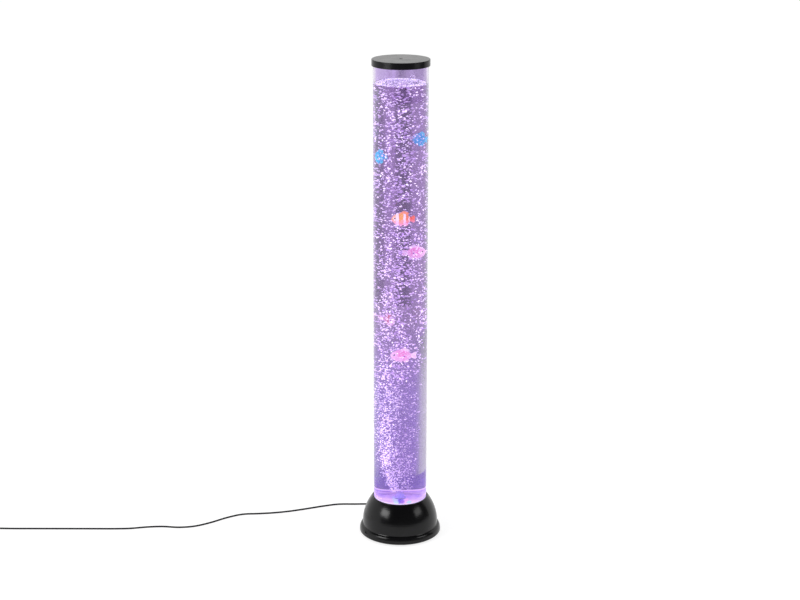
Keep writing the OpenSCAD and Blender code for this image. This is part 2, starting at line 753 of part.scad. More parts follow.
module board_parts() {
    board_frame() translate([0, 0, board_top]) {
        color("#202024") translate([41, -8, 0]) cube([8, 8, 1.6]);
        color("#202024") translate([50, 6, 0]) cube([5, 4, 1.4]);
        color("#30406a") for (x = [43, 52]) translate([x, 14, 0]) cylinder(r = 3.1, h = 8, $fn = 40);
        color("white") for (y = [led_socket_y, pump_socket_y]) translate([board_x + 1, y, 0])
            rotate([0, 0, 180]) translate([-socket_l, -socket_w / 2, 0]) socket();
        color("white") translate([supply_socket_x, socket_l - board_w / 2 + 2, 0])
            rotate([0, 0, -90]) translate([0, -socket_w / 2, 0]) socket();
    }
}

module board_screws() {
    color("silver") board_frame() for (p = board_screw_at) translate([p[0], p[1], board_top])
        rotate([180, 0, 0]) screw(small_screw, board_t + 4);
}

// ---------------------------------------------------------------- mode button

module switch_body() {
    color("#2a2a2c") board_frame() difference() {
        translate([switch_x, -switch_w / 2, board_top]) cube([switch_l, switch_w, 2 * (button_z - board_top)]);
        translate([switch_x + 2, 0, button_z]) rotate([0, 90, 0]) cylinder(r = plunger_r + slip, h = switch_l, $fn = 48);
    }
}

module switch_plunger() {
    color("#3a3a40") board_frame() translate([switch_x + 2 + button_travel + 0.4, 0, button_z]) rotate([0, 90, 0])
        cylinder(r = plunger_r, h = stem_x - switch_x - 2 - button_travel - 0.4, $fn = 48);
}

module mode_button() {
    color("#050506") board_frame() translate([0, 0, button_z]) {
        translate([stem_x, 0, 0]) rotate([0, 90, 0]) cylinder(r = button_h / 2 - 0.1, h = flange_x - stem_x + 0.5, $fn = 48);
        translate([flange_x, -button_l / 2 - 2.5, -button_h / 2]) cube([1.4, button_l + 5, button_h]);
        translate([flange_x + 1, 0, 0]) rotate([0, 90, 0])
            linear_extrude(face_x - flange_x - 1) rounded_rect(button_h, button_l, button_h / 2 - 0.01);
    }
}

// ---------------------------------------------------------------- air pump

module pump_housing() {
    eye_z = nipple_w - arm_h / 2 - 0.3;
    color("#4a4c52") pump_frame() difference() {
        union() {
            difference() {
                round_block(pump_l, pump_w, pump_h, 4);
                translate([pump_wall, pump_wall, pump_wall])
                    round_block(pump_l - 2 * pump_wall, pump_w - 2 * pump_wall, pump_h, 4 - pump_wall);
            }
            for (p = pump_screw_at) translate([p[0], p[1], 1]) cylinder(r = 2.4, h = pump_h - 1, $fn = 40);
            translate([pivot_u, pivot_v, 1]) cylinder(r = eye_r, h = eye_z - 1, $fn = 48);
            for (x = [core_u + 1, core_u + core_w - 3]) translate([x, block_v, 1]) cube([2, 12, core_z - 1]);
        }
        for (p = pump_screw_at) translate([p[0], p[1], pump_h - 11]) pilot(small_screw, 12);
        for (p = pump_mount_at) translate([p[0], p[1], -1]) cylinder(r = 1.5 + slip, h = 2.5, $fn = 32);
        translate([pivot_u, pivot_v, 1]) cylinder(r = pivot_r + push_fit, h = pump_h, $fn = 48);
        translate([-1, pump_v0, nipple_w]) rotate([0, 90, 0]) cylinder(r = nipple_r + 1, h = pump_wall + 2, $fn = 48);
        translate([core_mid + 2, -1, pump_h - 3]) cube([5, pump_wall + 2, 4]);
    }
}

module pump_cover() {
    eye_z = nipple_w + arm_h / 2 + 0.3;
    color("#3c3e44") pump_frame() difference() {
        union() {
            translate([0, 0, pump_h]) round_block(pump_l, pump_w, cover_t, 4);
            translate([pivot_u, pivot_v, eye_z]) cylinder(r = eye_r, h = pump_h - eye_z + 1, $fn = 48);
            for (x = [12:8:pump_l - 8]) translate([x, 8, pump_h + cover_t]) cube([2, pump_w - 16, 0.8]);
        }
        for (p = pump_screw_at) translate([p[0], p[1], pump_h - 1]) cylinder(r = small_screw[0] + 0.2, h = cover_t + 2, $fn = 32);
        translate([pivot_u, pivot_v, eye_z - 1]) cylinder(r = pivot_r + push_fit, h = pump_h - eye_z + 2, $fn = 48);
    }
}

module pump_core() {
    window = (core_w - 2 * leg_w - mid_leg_w) / 2;
    color("#8d8f94") pump_frame() translate([core_u, block_v, core_z]) linear_extrude(core_h) difference() {
        square([core_w, core_end - block_v]);
        for (x = [leg_w, core_w - leg_w - window]) translate([x, core_back]) square([window, core_end]);
    }
}

module winding_outline(w, h, r) {
    translate([core_mid, nipple_w]) rounded_rect(w, h, r);
}

module pump_bobbin() {
    sleeve_w = mid_leg_w + 2 * (slip + bobbin_wall);
    sleeve_h = core_h + 2 * (slip + bobbin_wall);
    back_v = block_v + core_back + slip;
    sleeve_l = core_end - 0.2 - back_v;
    color("#e8e2cf") pump_frame() difference() {
        union() {
            along_y(back_v, sleeve_l) winding_outline(sleeve_w, sleeve_h, 0.6);
            for (v = [back_v, back_v + sleeve_l - bobbin_wall])
                along_y(v, bobbin_wall) winding_outline(sleeve_w + 2 * winding + 0.4, sleeve_h + 2 * winding + 0.4, 1.5);
        }
        along_y(back_v - 1, sleeve_l + 2) translate([core_mid, nipple_w])
            square([mid_leg_w + 2 * slip, core_h + 2 * slip], center = true);
    }
}

module pump_coil() {
    sleeve_w = mid_leg_w + 2 * (slip + bobbin_wall);
    sleeve_h = core_h + 2 * (slip + bobbin_wall);
    back_v = block_v + core_back + slip + bobbin_wall;
    coil_l = core_end - 0.2 - bobbin_wall - back_v;
    color("#b4622a") pump_frame() difference() {
        along_y(back_v + slip, coil_l - 2 * slip) winding_outline(sleeve_w + 2 * winding, sleeve_h + 2 * winding, 2);
        along_y(back_v - 1, coil_l + 2) winding_outline(sleeve_w + 2 * slip, sleeve_h + 2 * slip, 0.6);
    }
}

module pump_arm() {
    tip_u = core_u + core_w;
    color("#cfd2d6") pump_frame() difference() {
        union() {
            translate([pivot_u, arm_v, nipple_w - arm_h / 2]) cube([tip_u - pivot_u, arm_t, arm_h]);
            translate([pivot_u, pivot_v, nipple_w - arm_h / 2]) cylinder(r = eye_r, h = arm_h, $fn = 48);
            translate([membrane_u + 6, arm_v, nipple_w - 1]) cube([core_u - membrane_u - 5, 3.4, 2]);
        }
        translate([pivot_u, pivot_v, 0]) cylinder(r = pivot_r + slip, h = pump_h, $fn = 48);
    }
}

module pump_pivot_pin() {
    color("silver") pump_frame() translate([pivot_u, pivot_v, 1]) cylinder(r = pivot_r, h = pump_h - 0.5, $fn = 48);
}

module pump_magnet() {
    color("#55575c") pump_frame() translate([core_mid - 6, arm_v - magnet_t, nipple_w - 5]) cube([12, magnet_t, 10]);
}

module pump_diaphragm() {
    color("#2e2e30") pump_frame() translate([membrane_u, block_v + block_d, nipple_w]) rotate([-90, 0, 0])
        rotate_extrude() polygon([
            [0, membrane_l - 1.6], [2.5, membrane_l - 1.6], [5, 1], [membrane_r - 1.4, 1], [membrane_r - 1.4, 0],
            [membrane_r, 0], [membrane_r, 2], [5.8, 2.4], [3.6, membrane_l], [0, membrane_l]
        ]);
}

module pump_valve_block() {
    color("#dfe1e4") pump_frame() difference() {
        union() {
            translate([block_u, block_v, pump_wall]) cube([block_l, block_d, block_h]);
            translate([-pump_x + pump_nipple_end, pump_v0, nipple_w]) rotate([0, 90, 0])
                cylinder(r = nipple_r, h = block_u + pump_x - pump_nipple_end + 0.5, $fn = 48);
        }
        translate([membrane_u, block_v + block_d - 1.5, nipple_w]) rotate([-90, 0, 0]) cylinder(r = 5.5, h = 3);
        translate([-pump_x + pump_nipple_end - 1, pump_v0, nipple_w]) rotate([0, 90, 0])
            cylinder(r = air_bore_r, h = membrane_u - 3 + pump_x - pump_nipple_end + 1, $fn = 32);
        translate([membrane_u - 3, pump_v0, nipple_w]) rotate([-90, 0, 0]) cylinder(r = 1, h = block_d, $fn = 32);
        translate([membrane_u + 3, block_v - 1, nipple_w]) rotate([-90, 0, 0]) cylinder(r = 1, h = block_d + 2, $fn = 32);
    }
}

module pump_valve_flaps() {
    color("#3b3b3d") pump_frame() for (x = [-2.7, 2.7])
        translate([membrane_u + x, block_v + block_d - 1.5, nipple_w]) rotate([-90, 0, 0]) cylinder(r = 2.2, h = 0.5, $fn = 40);
}

module pump_mounts() {
    color("#242426") pump_frame() for (p = pump_mount_at) translate([p[0], p[1], -mount_h]) {
        cylinder(r = 4, h = mount_h, $fn = 48);
        translate([0, 0, mount_h - 0.5]) cylinder(r = 1.5, h = 1.8, $fn = 32);
    }
}

module pump_screws() {
    color("silver") pump_frame() for (p = pump_screw_at) translate([p[0], p[1], pump_h + cover_t])
        rotate([180, 0, 0]) screw(small_screw, 11);
}

// ---------------------------------------------------------------- check valve and hoses

module check_valve_inlet() {
    color("#e9ecf2") air_line(valve_start) difference() {
        union() {
            cylinder(r = nipple_r, h = nipple_l + 1, $fn = 48);
            translate([0, 0, nipple_l]) cylinder(r = valve_r, h = half_h, $fn = 64);
            translate([0, 0, nipple_l + half_h - 0.5]) cylinder(r = 2.4, h = seat_h + 0.5, $fn = 48);
        }
        translate([0, 0, -1]) cylinder(r = air_bore_r, h = 20, $fn = 32);
    }
}

module check_valve_outlet() {
    joint_z = nipple_l + half_h;
    color("#7fa6d8") air_line(valve_start) {
        difference() {
            union() {
                translate([0, 0, joint_z]) cylinder(r = valve_r, h = half_h + 1, $fn = 64);
                translate([0, 0, joint_z + half_h]) cylinder(r = nipple_r, h = nipple_l + 1, $fn = 48);
            }
            translate([0, 0, joint_z - 1]) cylinder(r = chamber_r, h = chamber_h + 1, $fn = 64);
            translate([0, 0, joint_z]) cylinder(r = air_bore_r, h = 20, $fn = 32);
        }
        for (a = [0, 120, 240]) rotate([0, 0, a])
            translate([1.4, -0.4, joint_z + chamber_h - 0.8]) cube([chamber_r - 1.2, 0.8, 1]);
    }
}

module check_valve_disc() {
    color("#333336") air_line(valve_start) translate([0, 0, nipple_l + half_h + seat_h + slip])
        cylinder(r = chamber_r - 0.6, h = valve_disc_t, $fn = 48);
}

// A straight piece of hose along z
module hose(l) {
    tube_ring(hose_r, hose_bore_r, l);
}

// A quarter or half turn of hose: starts at the origin along z and bends towards +X
module hose_turn(angle) {
    translate([hose_bend, 0, 0]) rotate([90, 0, 0]) rotate([0, 0, 180]) mirror([0, 1, 0])
        rotate_extrude(angle = angle) translate([hose_bend, 0]) difference() {
            circle(hose_r, $fn = 48);
            circle(hose_bore_r, $fn = 48);
        }
}

module pump_hose() {
    color([0.85, 0.88, 0.92]) air_line(pump_x - 0.5) hose(pump_x - 0.5 - valve_start + nipple_l - 0.5);
}

module nozzle_hose() {
    start = valve_start - (valve_l - 1) + nipple_l - 1;
    turn = turn_x;
    color([0.85, 0.88, 0.92]) {
        air_line(start) hose(start - turn);
        air_line(turn) hose_turn(180);
        rotate([0, 0, pump_angle]) translate([turn, 0, upper_run_z]) rotate([0, 90, 0]) hose(-hose_bend - turn);
        rotate([0, 0, pump_angle]) translate([-hose_bend, 0, upper_run_z]) rotate([0, 90, 0]) rotate([0, 0, 180])
            hose_turn(90);
        rotate([0, 0, pump_angle]) translate([0, 0, upper_run_z + hose_bend]) hose(stem_z - upper_run_z - hose_bend);
    }
}

// ---------------------------------------------------------------- wires

module wire(points) {
    color("#b02a2a") sweep(smooth_route(points, 2), 1.1, 8);
}

module led_wires() {
    rotate([0, 0, mode_angle]) wire([
        [board_x + 0.9, led_socket_y, socket_mid], [28, led_socket_y, socket_mid], [25, -12, 19], [24, -15, 27],
        [26, -18, 38], [28, -19, 46], [28, -19, led_board_z - 3], [28, -19, led_board_z]
    ]);
}

module pump_wires() {
    rotate([0, 0, pump_angle]) wire([
        [pump_x + core_mid + 4.5, -pump_v0 + 1, pump_z + pump_h - 1.5],
        [pump_x + core_mid + 4.5, -pump_v0 - 2, pump_z + pump_h - 1.5],
        [36, -18, 26], [20, -22, 20], [0, -24, 17], [-16, -19, 15.5], [-24, -10, socket_mid],
        [-28, -pump_socket_y, socket_mid], [-board_x - 0.9, -pump_socket_y, socket_mid]
    ]);
}

module supply_wires() {
    wire([
        [0, relief_back - 1.5, exit_z], [0, relief_back - 6, exit_z], [-6, 62, 10], [-26, 48, 9], [-50, 28, 9],
        [-54, 12, 10], on_board(supply_socket_x, -25, socket_mid), on_board(supply_socket_x, -21, socket_mid),
        on_board(supply_socket_x, 2.05 - board_w / 2 - 0.1, socket_mid)
    ]);
}

// ---------------------------------------------------------------- cord, coil and adaptor

module strain_relief() {
    color("#0c0c0d") translate([0, relief_back, exit_z]) rotate([-90, 0, 0]) difference() {
        rotate_extrude() polygon([
            [0, -1.5], [relief_r + 1, -1.5], [relief_r + 1, 0], [relief_r, 0], [relief_r, relief_seat - relief_back],
            [relief_r + 1, relief_seat - relief_back], [relief_r + 1, relief_seat - relief_back + 1.6],
            [relief_r, relief_seat - relief_back + 2.4],
            [cord_r + 0.5, relief_end - relief_back], [0, relief_end - relief_back]
        ]);
        for (z = [7:2.6:18], side = [-1, 1]) rotate([0, 0, z * 90 / 2.6])
            translate([side * (cord_r + 1.9), 0, z]) cube([2, 8, 1.1], center = true);
    }
}

module cord() {
    color("#0a0a0b") sweep(cord_path, cord_r, 8);
}

module cord_coil() {
    color("#0a0a0b") sweep(coil_path, cord_r, 6);
}

module cord_tie() {
    inner = coil_out_r - loop_pitch * (coil_mid_turn - 0.125) - cord_r - 0.5;
    outer = coil_out_r + cord_r + 0.5;
    top = coil_high_z + cord_r + 0.4;
    color("#1c1c1f") translate([coil_cx, coil_cy, 0]) rotate([0, 0, 45]) difference() {
        translate([inner - tie_t, -tie_w / 2, 0]) cube([outer - inner + 2 * tie_t, tie_w, top + tie_t]);
        translate([inner, -tie_w, tie_t]) cube([outer - inner, 2 * tie_w, top - tie_t]);
    }
}

module adaptor_case() {
    color("#131315") translate([adaptor_x, adaptor_y, 0]) difference() {
        translate([-adaptor_w / 2, 0, 0]) round_block(adaptor_w, adaptor_l, adaptor_split, 6);
        translate([0, -1, coil_high_z]) rotate([-90, 0, 0]) cylinder(r = 2.5 + slip, h = 5, $fn = 48);
    }
}

module adaptor_cover() {
    color("#161618") translate([adaptor_x, adaptor_y, adaptor_split]) difference() {
        translate([-adaptor_w / 2, 0, 0]) round_block(adaptor_w, adaptor_l, adaptor_h - adaptor_split, 6);
        for (x = [-1, 1]) translate([x * plug_pin_gap / 2, adaptor_l * 0.65, adaptor_h - adaptor_split - 6])
            cylinder(r = plug_pin_r + slip, h = 8, $fn = 48);
    }
}

module adaptor_pins() {
    color("#c9c9cd") for (x = [-1, 1])
        translate([adaptor_x + x * plug_pin_gap / 2, adaptor_y + adaptor_l * 0.65, adaptor_h - 6]) rotate_extrude()
            polygon(concat(
                [[0, 0], [plug_pin_r, 0], [plug_pin_r, 6 + plug_pin_l - plug_pin_r]],
                [for (i = [1:5]) [plug_pin_r * cos(18 * i), 6 + plug_pin_l - plug_pin_r + plug_pin_r * sin(18 * i)]]
            ));
}

module adaptor_relief() {
    color("#0e0e10") translate([adaptor_x, adaptor_relief_y, coil_high_z]) rotate([-90, 0, 0]) rotate_extrude()
        polygon([[0, 0], [cord_r + 0.5, 0], [cord_r + 1.6, adaptor_relief_l - 2], [cord_r + 1.9, adaptor_relief_l],
                 [2.5, adaptor_relief_l], [2.5, adaptor_relief_l + 3.5], [0, adaptor_relief_l + 3.5]]);
}

lid();
tube();
tube_bottom_disc();
seat_gasket();
tube_screws();
water();
air_nozzle();
nozzle_seals();
nozzle_nut();
bubble_head();
fish_blue_upper();
fish_blue_lower();
fish_striped();
fish_pink_upper();
fish_red();
fish_pink_lower();
dome();
base_tray();
rubber_feet();
base_screws();
led_board();
leds();
led_board_screws();
control_board();
board_parts();
board_screws();
switch_body();
switch_plunger();
mode_button();
pump_housing();
pump_cover();
pump_core();
pump_bobbin();
pump_coil();
pump_arm();
pump_pivot_pin();
pump_magnet();
pump_diaphragm();
pump_valve_block();
pump_valve_flaps();
pump_mounts();
pump_screws();
check_valve_inlet();
check_valve_outlet();
check_valve_disc();
pump_hose();
nozzle_hose();
led_wires();
pump_wires();
supply_wires();
strain_relief();
cord();
cord_coil();
cord_tie();
adaptor_case();
adaptor_cover();
adaptor_pins();
adaptor_relief();
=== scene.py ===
"""Looks of the bubble tube floor lamp: materials, bubbles, fish, cord, light and camera.

Everything is in metres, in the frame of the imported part: +Z is up and the base stands on the floor at the origin.
"""

import math

import bmesh
import bpy
import numpy as np
from mathutils import Euler, Matrix, Vector, noise


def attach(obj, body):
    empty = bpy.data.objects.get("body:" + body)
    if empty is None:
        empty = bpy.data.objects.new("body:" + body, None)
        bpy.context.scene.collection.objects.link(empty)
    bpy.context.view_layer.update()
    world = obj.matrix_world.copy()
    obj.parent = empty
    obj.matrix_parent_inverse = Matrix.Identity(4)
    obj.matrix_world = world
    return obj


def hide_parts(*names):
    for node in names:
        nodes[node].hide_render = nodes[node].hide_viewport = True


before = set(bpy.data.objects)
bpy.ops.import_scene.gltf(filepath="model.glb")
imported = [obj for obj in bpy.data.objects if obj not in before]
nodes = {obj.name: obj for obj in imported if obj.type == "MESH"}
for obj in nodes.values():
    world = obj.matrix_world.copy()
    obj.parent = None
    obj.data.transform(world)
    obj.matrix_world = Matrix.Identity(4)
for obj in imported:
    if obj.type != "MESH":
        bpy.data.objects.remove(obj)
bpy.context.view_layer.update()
scene = bpy.context.scene
scene.view_settings.view_transform = "Standard"
MM = 0.001

# ------------------------------------------------------------------ camera

# Fitted to the photo: the tube's outline gives the tilt and the distance
camera_data = bpy.data.cameras.new("camera")
camera_data.sensor_width = 36.0
camera_data.lens = 79.92
camera_data.clip_end = 200.0
camera = bpy.data.objects.new("camera", camera_data)
scene.collection.objects.link(camera)
camera.matrix_world = (
    Matrix.Translation((-0.0009, -3.460, 1.542))
    @ Matrix.Rotation(math.radians(73.36), 4, "X")
    @ Matrix.Rotation(math.radians(0.11), 4, "Z")
)
scene.camera = camera


# ------------------------------------------------------------------ small helpers


def add_object(name, mesh, body="base"):
    """Links a mesh or curve as an object and makes it ride on a body."""
    o = bpy.data.objects.new(name, mesh)
    scene.collection.objects.link(o)
    if body:
        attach(o, body)
    return o


def mesh_from(name, verts, faces, smooth=True):
    m = bpy.data.meshes.new(name)
    m.from_pydata([tuple(map(float, v)) for v in verts], [], [tuple(map(int, f)) for f in faces])
    m.validate()
    m.update()
    if smooth:
        m.polygons.foreach_set("use_smooth", [True] * len(m.polygons))
    return m


def mesh_from_arrays(name, verts, tris):
    """A smooth triangle mesh straight from numpy arrays."""
    m = bpy.data.meshes.new(name)
    m.vertices.add(len(verts))
    m.vertices.foreach_set("co", np.asarray(verts, np.float32).ravel())
    m.loops.add(3 * len(tris))
    m.loops.foreach_set("vertex_index", np.asarray(tris, np.int32).ravel())
    m.polygons.add(len(tris))
    m.polygons.foreach_set("loop_start", np.arange(0, 3 * len(tris), 3, dtype=np.int32))
    m.polygons.foreach_set("loop_total", np.full(len(tris), 3, np.int32))
    m.polygons.foreach_set("use_smooth", np.ones(len(tris), bool))
    m.update(calc_edges=True)
    m.validate()
    return m


def ring_faces(rows, cols, start):
    """Quads between closed rows of cols points each."""
    faces = []
    for i in range(rows - 1):
        for k in range(cols):
            a, b = start + i * cols + k, start + i * cols + (k + 1) % cols
            faces.append((a, b, b + cols, a + cols))
    return faces


def circle(count):
    """Cosine and sine of evenly spaced angles."""
    angles = (2 * math.pi * k / count for k in range(count))
    return [(math.cos(a), math.sin(a)) for a in angles]


def revolve(name, profile, sides, closed_profile=False):
    """A surface of revolution from (radius, height) points; a point on the axis becomes a pole."""
    verts, rows = [], []
    for r, z in profile:
        if r < 1e-7:
            rows.append([len(verts)])
            verts.append((0.0, 0.0, z))
        else:
            rows.append(list(range(len(verts), len(verts) + sides)))
            verts += [(r * c, r * s, z) for c, s in circle(sides)]
    faces = []
    pairs = list(zip(rows, rows[1:]))
    if closed_profile:
        pairs.append((rows[-1], rows[0]))
    for lower, upper in pairs:
        for k in range(sides):
            n = (k + 1) % sides
            if len(lower) == 1:
                faces.append((lower[0], upper[n], upper[k]))
            elif len(upper) == 1:
                faces.append((lower[k], lower[n], upper[0]))
            else:
                faces.append((lower[k], lower[n], upper[n], upper[k]))
    return mesh_from(name, verts, faces)


def outward(mesh):
    """Turns a closed mesh's faces outwards."""
    b = bmesh.new()
    b.from_mesh(mesh)
    bmesh.ops.recalc_face_normals(b, faces=b.faces)
    b.to_mesh(mesh)
    b.free()
    return mesh


# ------------------------------------------------------------------ materials


def feed(tree, socket, value):
    """Sets an input from a value, or links it to another node's output."""
    if isinstance(value, bpy.types.NodeSocket):
        tree.links.new(value, socket)
    else:
        socket.default_value = value


def add_node(tree, kind, inputs=None, **values):
    """A node with its settings and its inputs."""
    n = tree.nodes.new(kind)
    for key, value in values.items():
        setattr(n, key, value)
    for key, value in (inputs or {}).items():
        feed(tree, n.inputs[key], value)
    return n


def scaled(colour, factor):
    return tuple(c * factor for c in colour)


class Look:
    """A material under construction: a Principled shader and a few ways to give it detail."""

    def __init__(self, name, colour, roughness=0.5, metallic=0.0, **sockets):
        self.material = bpy.data.materials.new(name)
        self.material.use_nodes = True
        self.tree = self.material.node_tree
        self.tree.nodes.clear()
        self.coordinates = None
        self.out = self.node("ShaderNodeOutputMaterial")
        self.shader = self.node("ShaderNodeBsdfPrincipled")
        self.show(self.shader)
        for key, value in dict(Base_Color=(*colour, 1.0), Roughness=roughness, Metallic=metallic, **sockets).items():
            self.set(key.replace("_", " "), value)

    def show(self, node, socket="Surface"):
        self.tree.links.new(node.outputs[0], self.out.inputs[socket])

    def set(self, socket, value):
        feed(self.tree, self.shader.inputs[socket], value)

    def node(self, kind, inputs=None, **values):
        return add_node(self.tree, kind, inputs, **values)

    def place(self):
        """Object coordinates, which for a CAD node are the lamp's own frame."""
        if self.coordinates is None:
            self.coordinates = self.node("ShaderNodeTexCoord").outputs["Object"]
        return self.coordinates

    def parts(self, vector=None):
        """The X, Y and Z of a vector, or of the place."""
        return self.node("ShaderNodeSeparateXYZ", {0: self.place() if vector is None else vector}).outputs

    def length(self, vector):
        return self.node("ShaderNodeVectorMath", {0: vector}, operation="LENGTH").outputs["Value"]

    def stretched(self, scale):
        return self.node("ShaderNodeMapping", {"Vector": self.place(), "Scale": scale}).outputs[0]

    def noise(self, scale, detail=4.0, stretch=None):
        vector = self.stretched(stretch) if stretch else self.place()
        inputs = {"Vector": vector, "Scale": scale, "Detail": detail, "Roughness": 0.55}
        return self.node("ShaderNodeTexNoise", inputs).outputs["Fac"]

    def bands(self, vector, scale, direction, distortion=0.0):
        inputs = {"Vector": vector, "Scale": scale, "Distortion": distortion}
        return self.node("ShaderNodeTexWave", inputs, wave_type="BANDS", bands_direction=direction).outputs["Fac"]

    def ramp(self, value, stops, smooth="LINEAR"):
        """A colour ramp; stops are (position, colour)."""
        r = self.node("ShaderNodeValToRGB", {"Fac": value})
        r.color_ramp.interpolation = smooth
        points = r.color_ramp.elements
        while len(points) < len(stops):
            points.new(0.5)
        for p, (where, colour) in zip(points, stops):
            p.position = where
            p.color = (*colour, 1.0)
        return r.outputs["Color"]

    def remap(self, value, low, high, from_low=0.0, from_high=1.0):
        ends = {"From Min": from_low, "From Max": from_high, "To Min": low, "To Max": high}
        return self.node("ShaderNodeMapRange", {"Value": value, **ends}).outputs["Result"]

    def math(self, operation, *terms):
        return self.node("ShaderNodeMath", dict(enumerate(terms)), operation=operation).outputs[0]

    def mix(self, fac, a, b):
        """Mixes two colours, each a node's output or a tuple."""
        a, b = ((*v, 1.0) if isinstance(v, tuple) else v for v in (a, b))
        return self.node("ShaderNodeMix", {0: fac, 6: a, 7: b}, data_type="RGBA").outputs[2]

    def vary_roughness(self, low, high, scale=60.0, stretch=None, detail=4.0):
        self.set("Roughness", self.remap(self.noise(scale, detail, stretch), low, high, 0.3, 0.7))

    def vary_colour(self, dark, light, scale=40.0, stretch=None, detail=5.0):
        self.set("Base Color", self.ramp(self.noise(scale, detail, stretch), [(0.3, dark), (0.7, light)]))

    def bump(self, height, strength, distance):
        inputs = {"Strength": strength, "Distance": distance, "Height": height}
        self.set("Normal", self.node("ShaderNodeBump", inputs).outputs[0])

    def grain(self, scale=2200.0, strength=0.12, distance=0.00005, stretch=None):
        """The fine grain of a moulded or drawn surface."""
        self.bump(self.noise(scale, 2.0, stretch), strength, distance)
        return self


def lets_light_in(look, tint):
    """Glass whose inside is lit: shadow and diffuse rays pass straight through, the camera sees real refraction."""
    rays = look.node("ShaderNodeLightPath").outputs
    straight = look.math("MAXIMUM", rays["Is Shadow Ray"], rays["Is Diffuse Ray"])
    clear = look.node("ShaderNodeBsdfTransparent", {"Color": (*tint, 1.0)})
    look.show(look.node("ShaderNodeMixShader", {0: straight, 1: look.shader.outputs[0], 2: clear.outputs[0]}))


def plastic(name, colour, roughness, spread=0.05, grain=0.1, level=0.5, scale=2200.0):
    look = Look(name, colour, roughness, Specular_IOR_Level=level)
    look.vary_colour(scaled(colour, 0.8), tuple(min(1.0, c * 1.2) for c in colour), 35.0)
    look.vary_roughness(max(0.02, roughness - spread), roughness + spread, 45.0)
    return look.grain(scale, grain)


def metal(name, colour, roughness, scale=900.0, stretch=(1, 1, 0.05), strength=0.15):
    look = Look(name, colour, roughness, 1.0)
    look.vary_colour(scaled(colour, 0.82), colour, 220.0)
    look.vary_roughness(roughness * 0.75, roughness * 1.3, scale, stretch)
    return look.grain(scale, strength, 0.00003, stretch)


def rubber(name, colour):
    look = Look(name, colour, 0.75, Specular_IOR_Level=0.35)
    look.vary_colour(scaled(colour, 0.7), scaled(colour, 1.5), 60.0)
    look.vary_roughness(0.65, 0.85, 90.0)
    return look.grain(1600.0, 0.25, 0.00008)


gloss_black = plastic("gloss_black_plastic", (0.004, 0.004, 0.0045), 0.2, 0.03, 0.03, 0.26)
tray_black = plastic("tray_black_plastic", (0.006, 0.006, 0.0065), 0.3, 0.05, 0.08, 0.35)
lid_black = plastic("lid_satin_black_plastic", (0.003, 0.003, 0.004), 0.2, 0.04, 0.12, 0.205, 2600.0)
button_black = plastic("button_black_plastic", (0.003, 0.003, 0.003), 0.5, 0.05, 0.15, 0.3)
case_black = plastic("adaptor_black_plastic", (0.010, 0.010, 0.011), 0.42, 0.06, 0.3, 0.4, 1500.0)
foot_rubber = rubber("foot_rubber", (0.012, 0.012, 0.013))
seal_rubber = rubber("seal_rubber", (0.03, 0.03, 0.032))
mount_rubber = rubber("mount_rubber", (0.02, 0.02, 0.022))
membrane_rubber = rubber("membrane_rubber", (0.028, 0.027, 0.027))
cord_black = rubber("cord_black_pvc", (0.006, 0.006, 0.0065))
screw_steel = metal("screw_steel", (0.62, 0.62, 0.64), 0.28)
pin_steel = metal("pin_steel", (0.72, 0.72, 0.74), 0.16)
arm_steel = metal("arm_steel", (0.66, 0.67, 0.7), 0.3, 1200.0, (0.05, 1, 1))
plug_metal = metal("plug_pin_metal", (0.78, 0.77, 0.74), 0.2, 1000.0, (1, 1, 0.04))
magnet_grey = metal("magnet_ferrite", (0.10, 0.10, 0.11), 0.55, 1800.0, None, 0.35)
white_plastic = plastic("white_plastic", (0.78, 0.78, 0.80), 0.35, 0.05, 0.1)
pump_grey = plastic("pump_housing_plastic", (0.055, 0.058, 0.065), 0.45, 0.06, 0.35, 0.45, 1700.0)
cover_grey = plastic("pump_cover_plastic", (0.040, 0.042, 0.048), 0.42, 0.06, 0.35, 0.45, 1700.0)
block_grey = plastic("valve_block_plastic", (0.70, 0.72, 0.75), 0.35, 0.05, 0.12)
valve_white = plastic("check_valve_white", (0.80, 0.83, 0.88), 0.3, 0.05, 0.1)
valve_blue = plastic("check_valve_blue", (0.18, 0.36, 0.68), 0.3, 0.05, 0.1)
switch_dark = plastic("switch_plastic", (0.022, 0.022, 0.024), 0.45, 0.05, 0.2)
bobbin_cream = plastic("bobbin_plastic", (0.78, 0.72, 0.55), 0.4, 0.05, 0.1)

laminate = Look("core_laminations", (0.28, 0.29, 0.31), 0.4, 1.0)
sheets = laminate.bands(laminate.place(), 320.0, "Z", 0.4)
laminate.set("Base Color", laminate.ramp(sheets, [(0.1, (0.08, 0.08, 0.09)), (0.45, (0.30, 0.31, 0.33))]))
laminate.vary_roughness(0.3, 0.5, 300.0)
laminate.bump(sheets, 0.5, 0.00008)

# The turns run across the coil's axis, which lies as the pump does
PUMP_TURN = math.radians(32)
copper = Look("coil_copper", (0.62, 0.22, 0.08), 0.25, 1.0, Coat_Weight=0.6, Coat_Roughness=0.12)
turns = copper.bands(copper.stretched((math.sin(PUMP_TURN), -math.cos(PUMP_TURN), 1.0)), 420.0, "X")
copper.set("Base Color", copper.ramp(turns, [(0.05, (0.20, 0.05, 0.015)), (0.5, (0.70, 0.26, 0.10))]))
copper.bump(turns, 0.8, 0.0001)


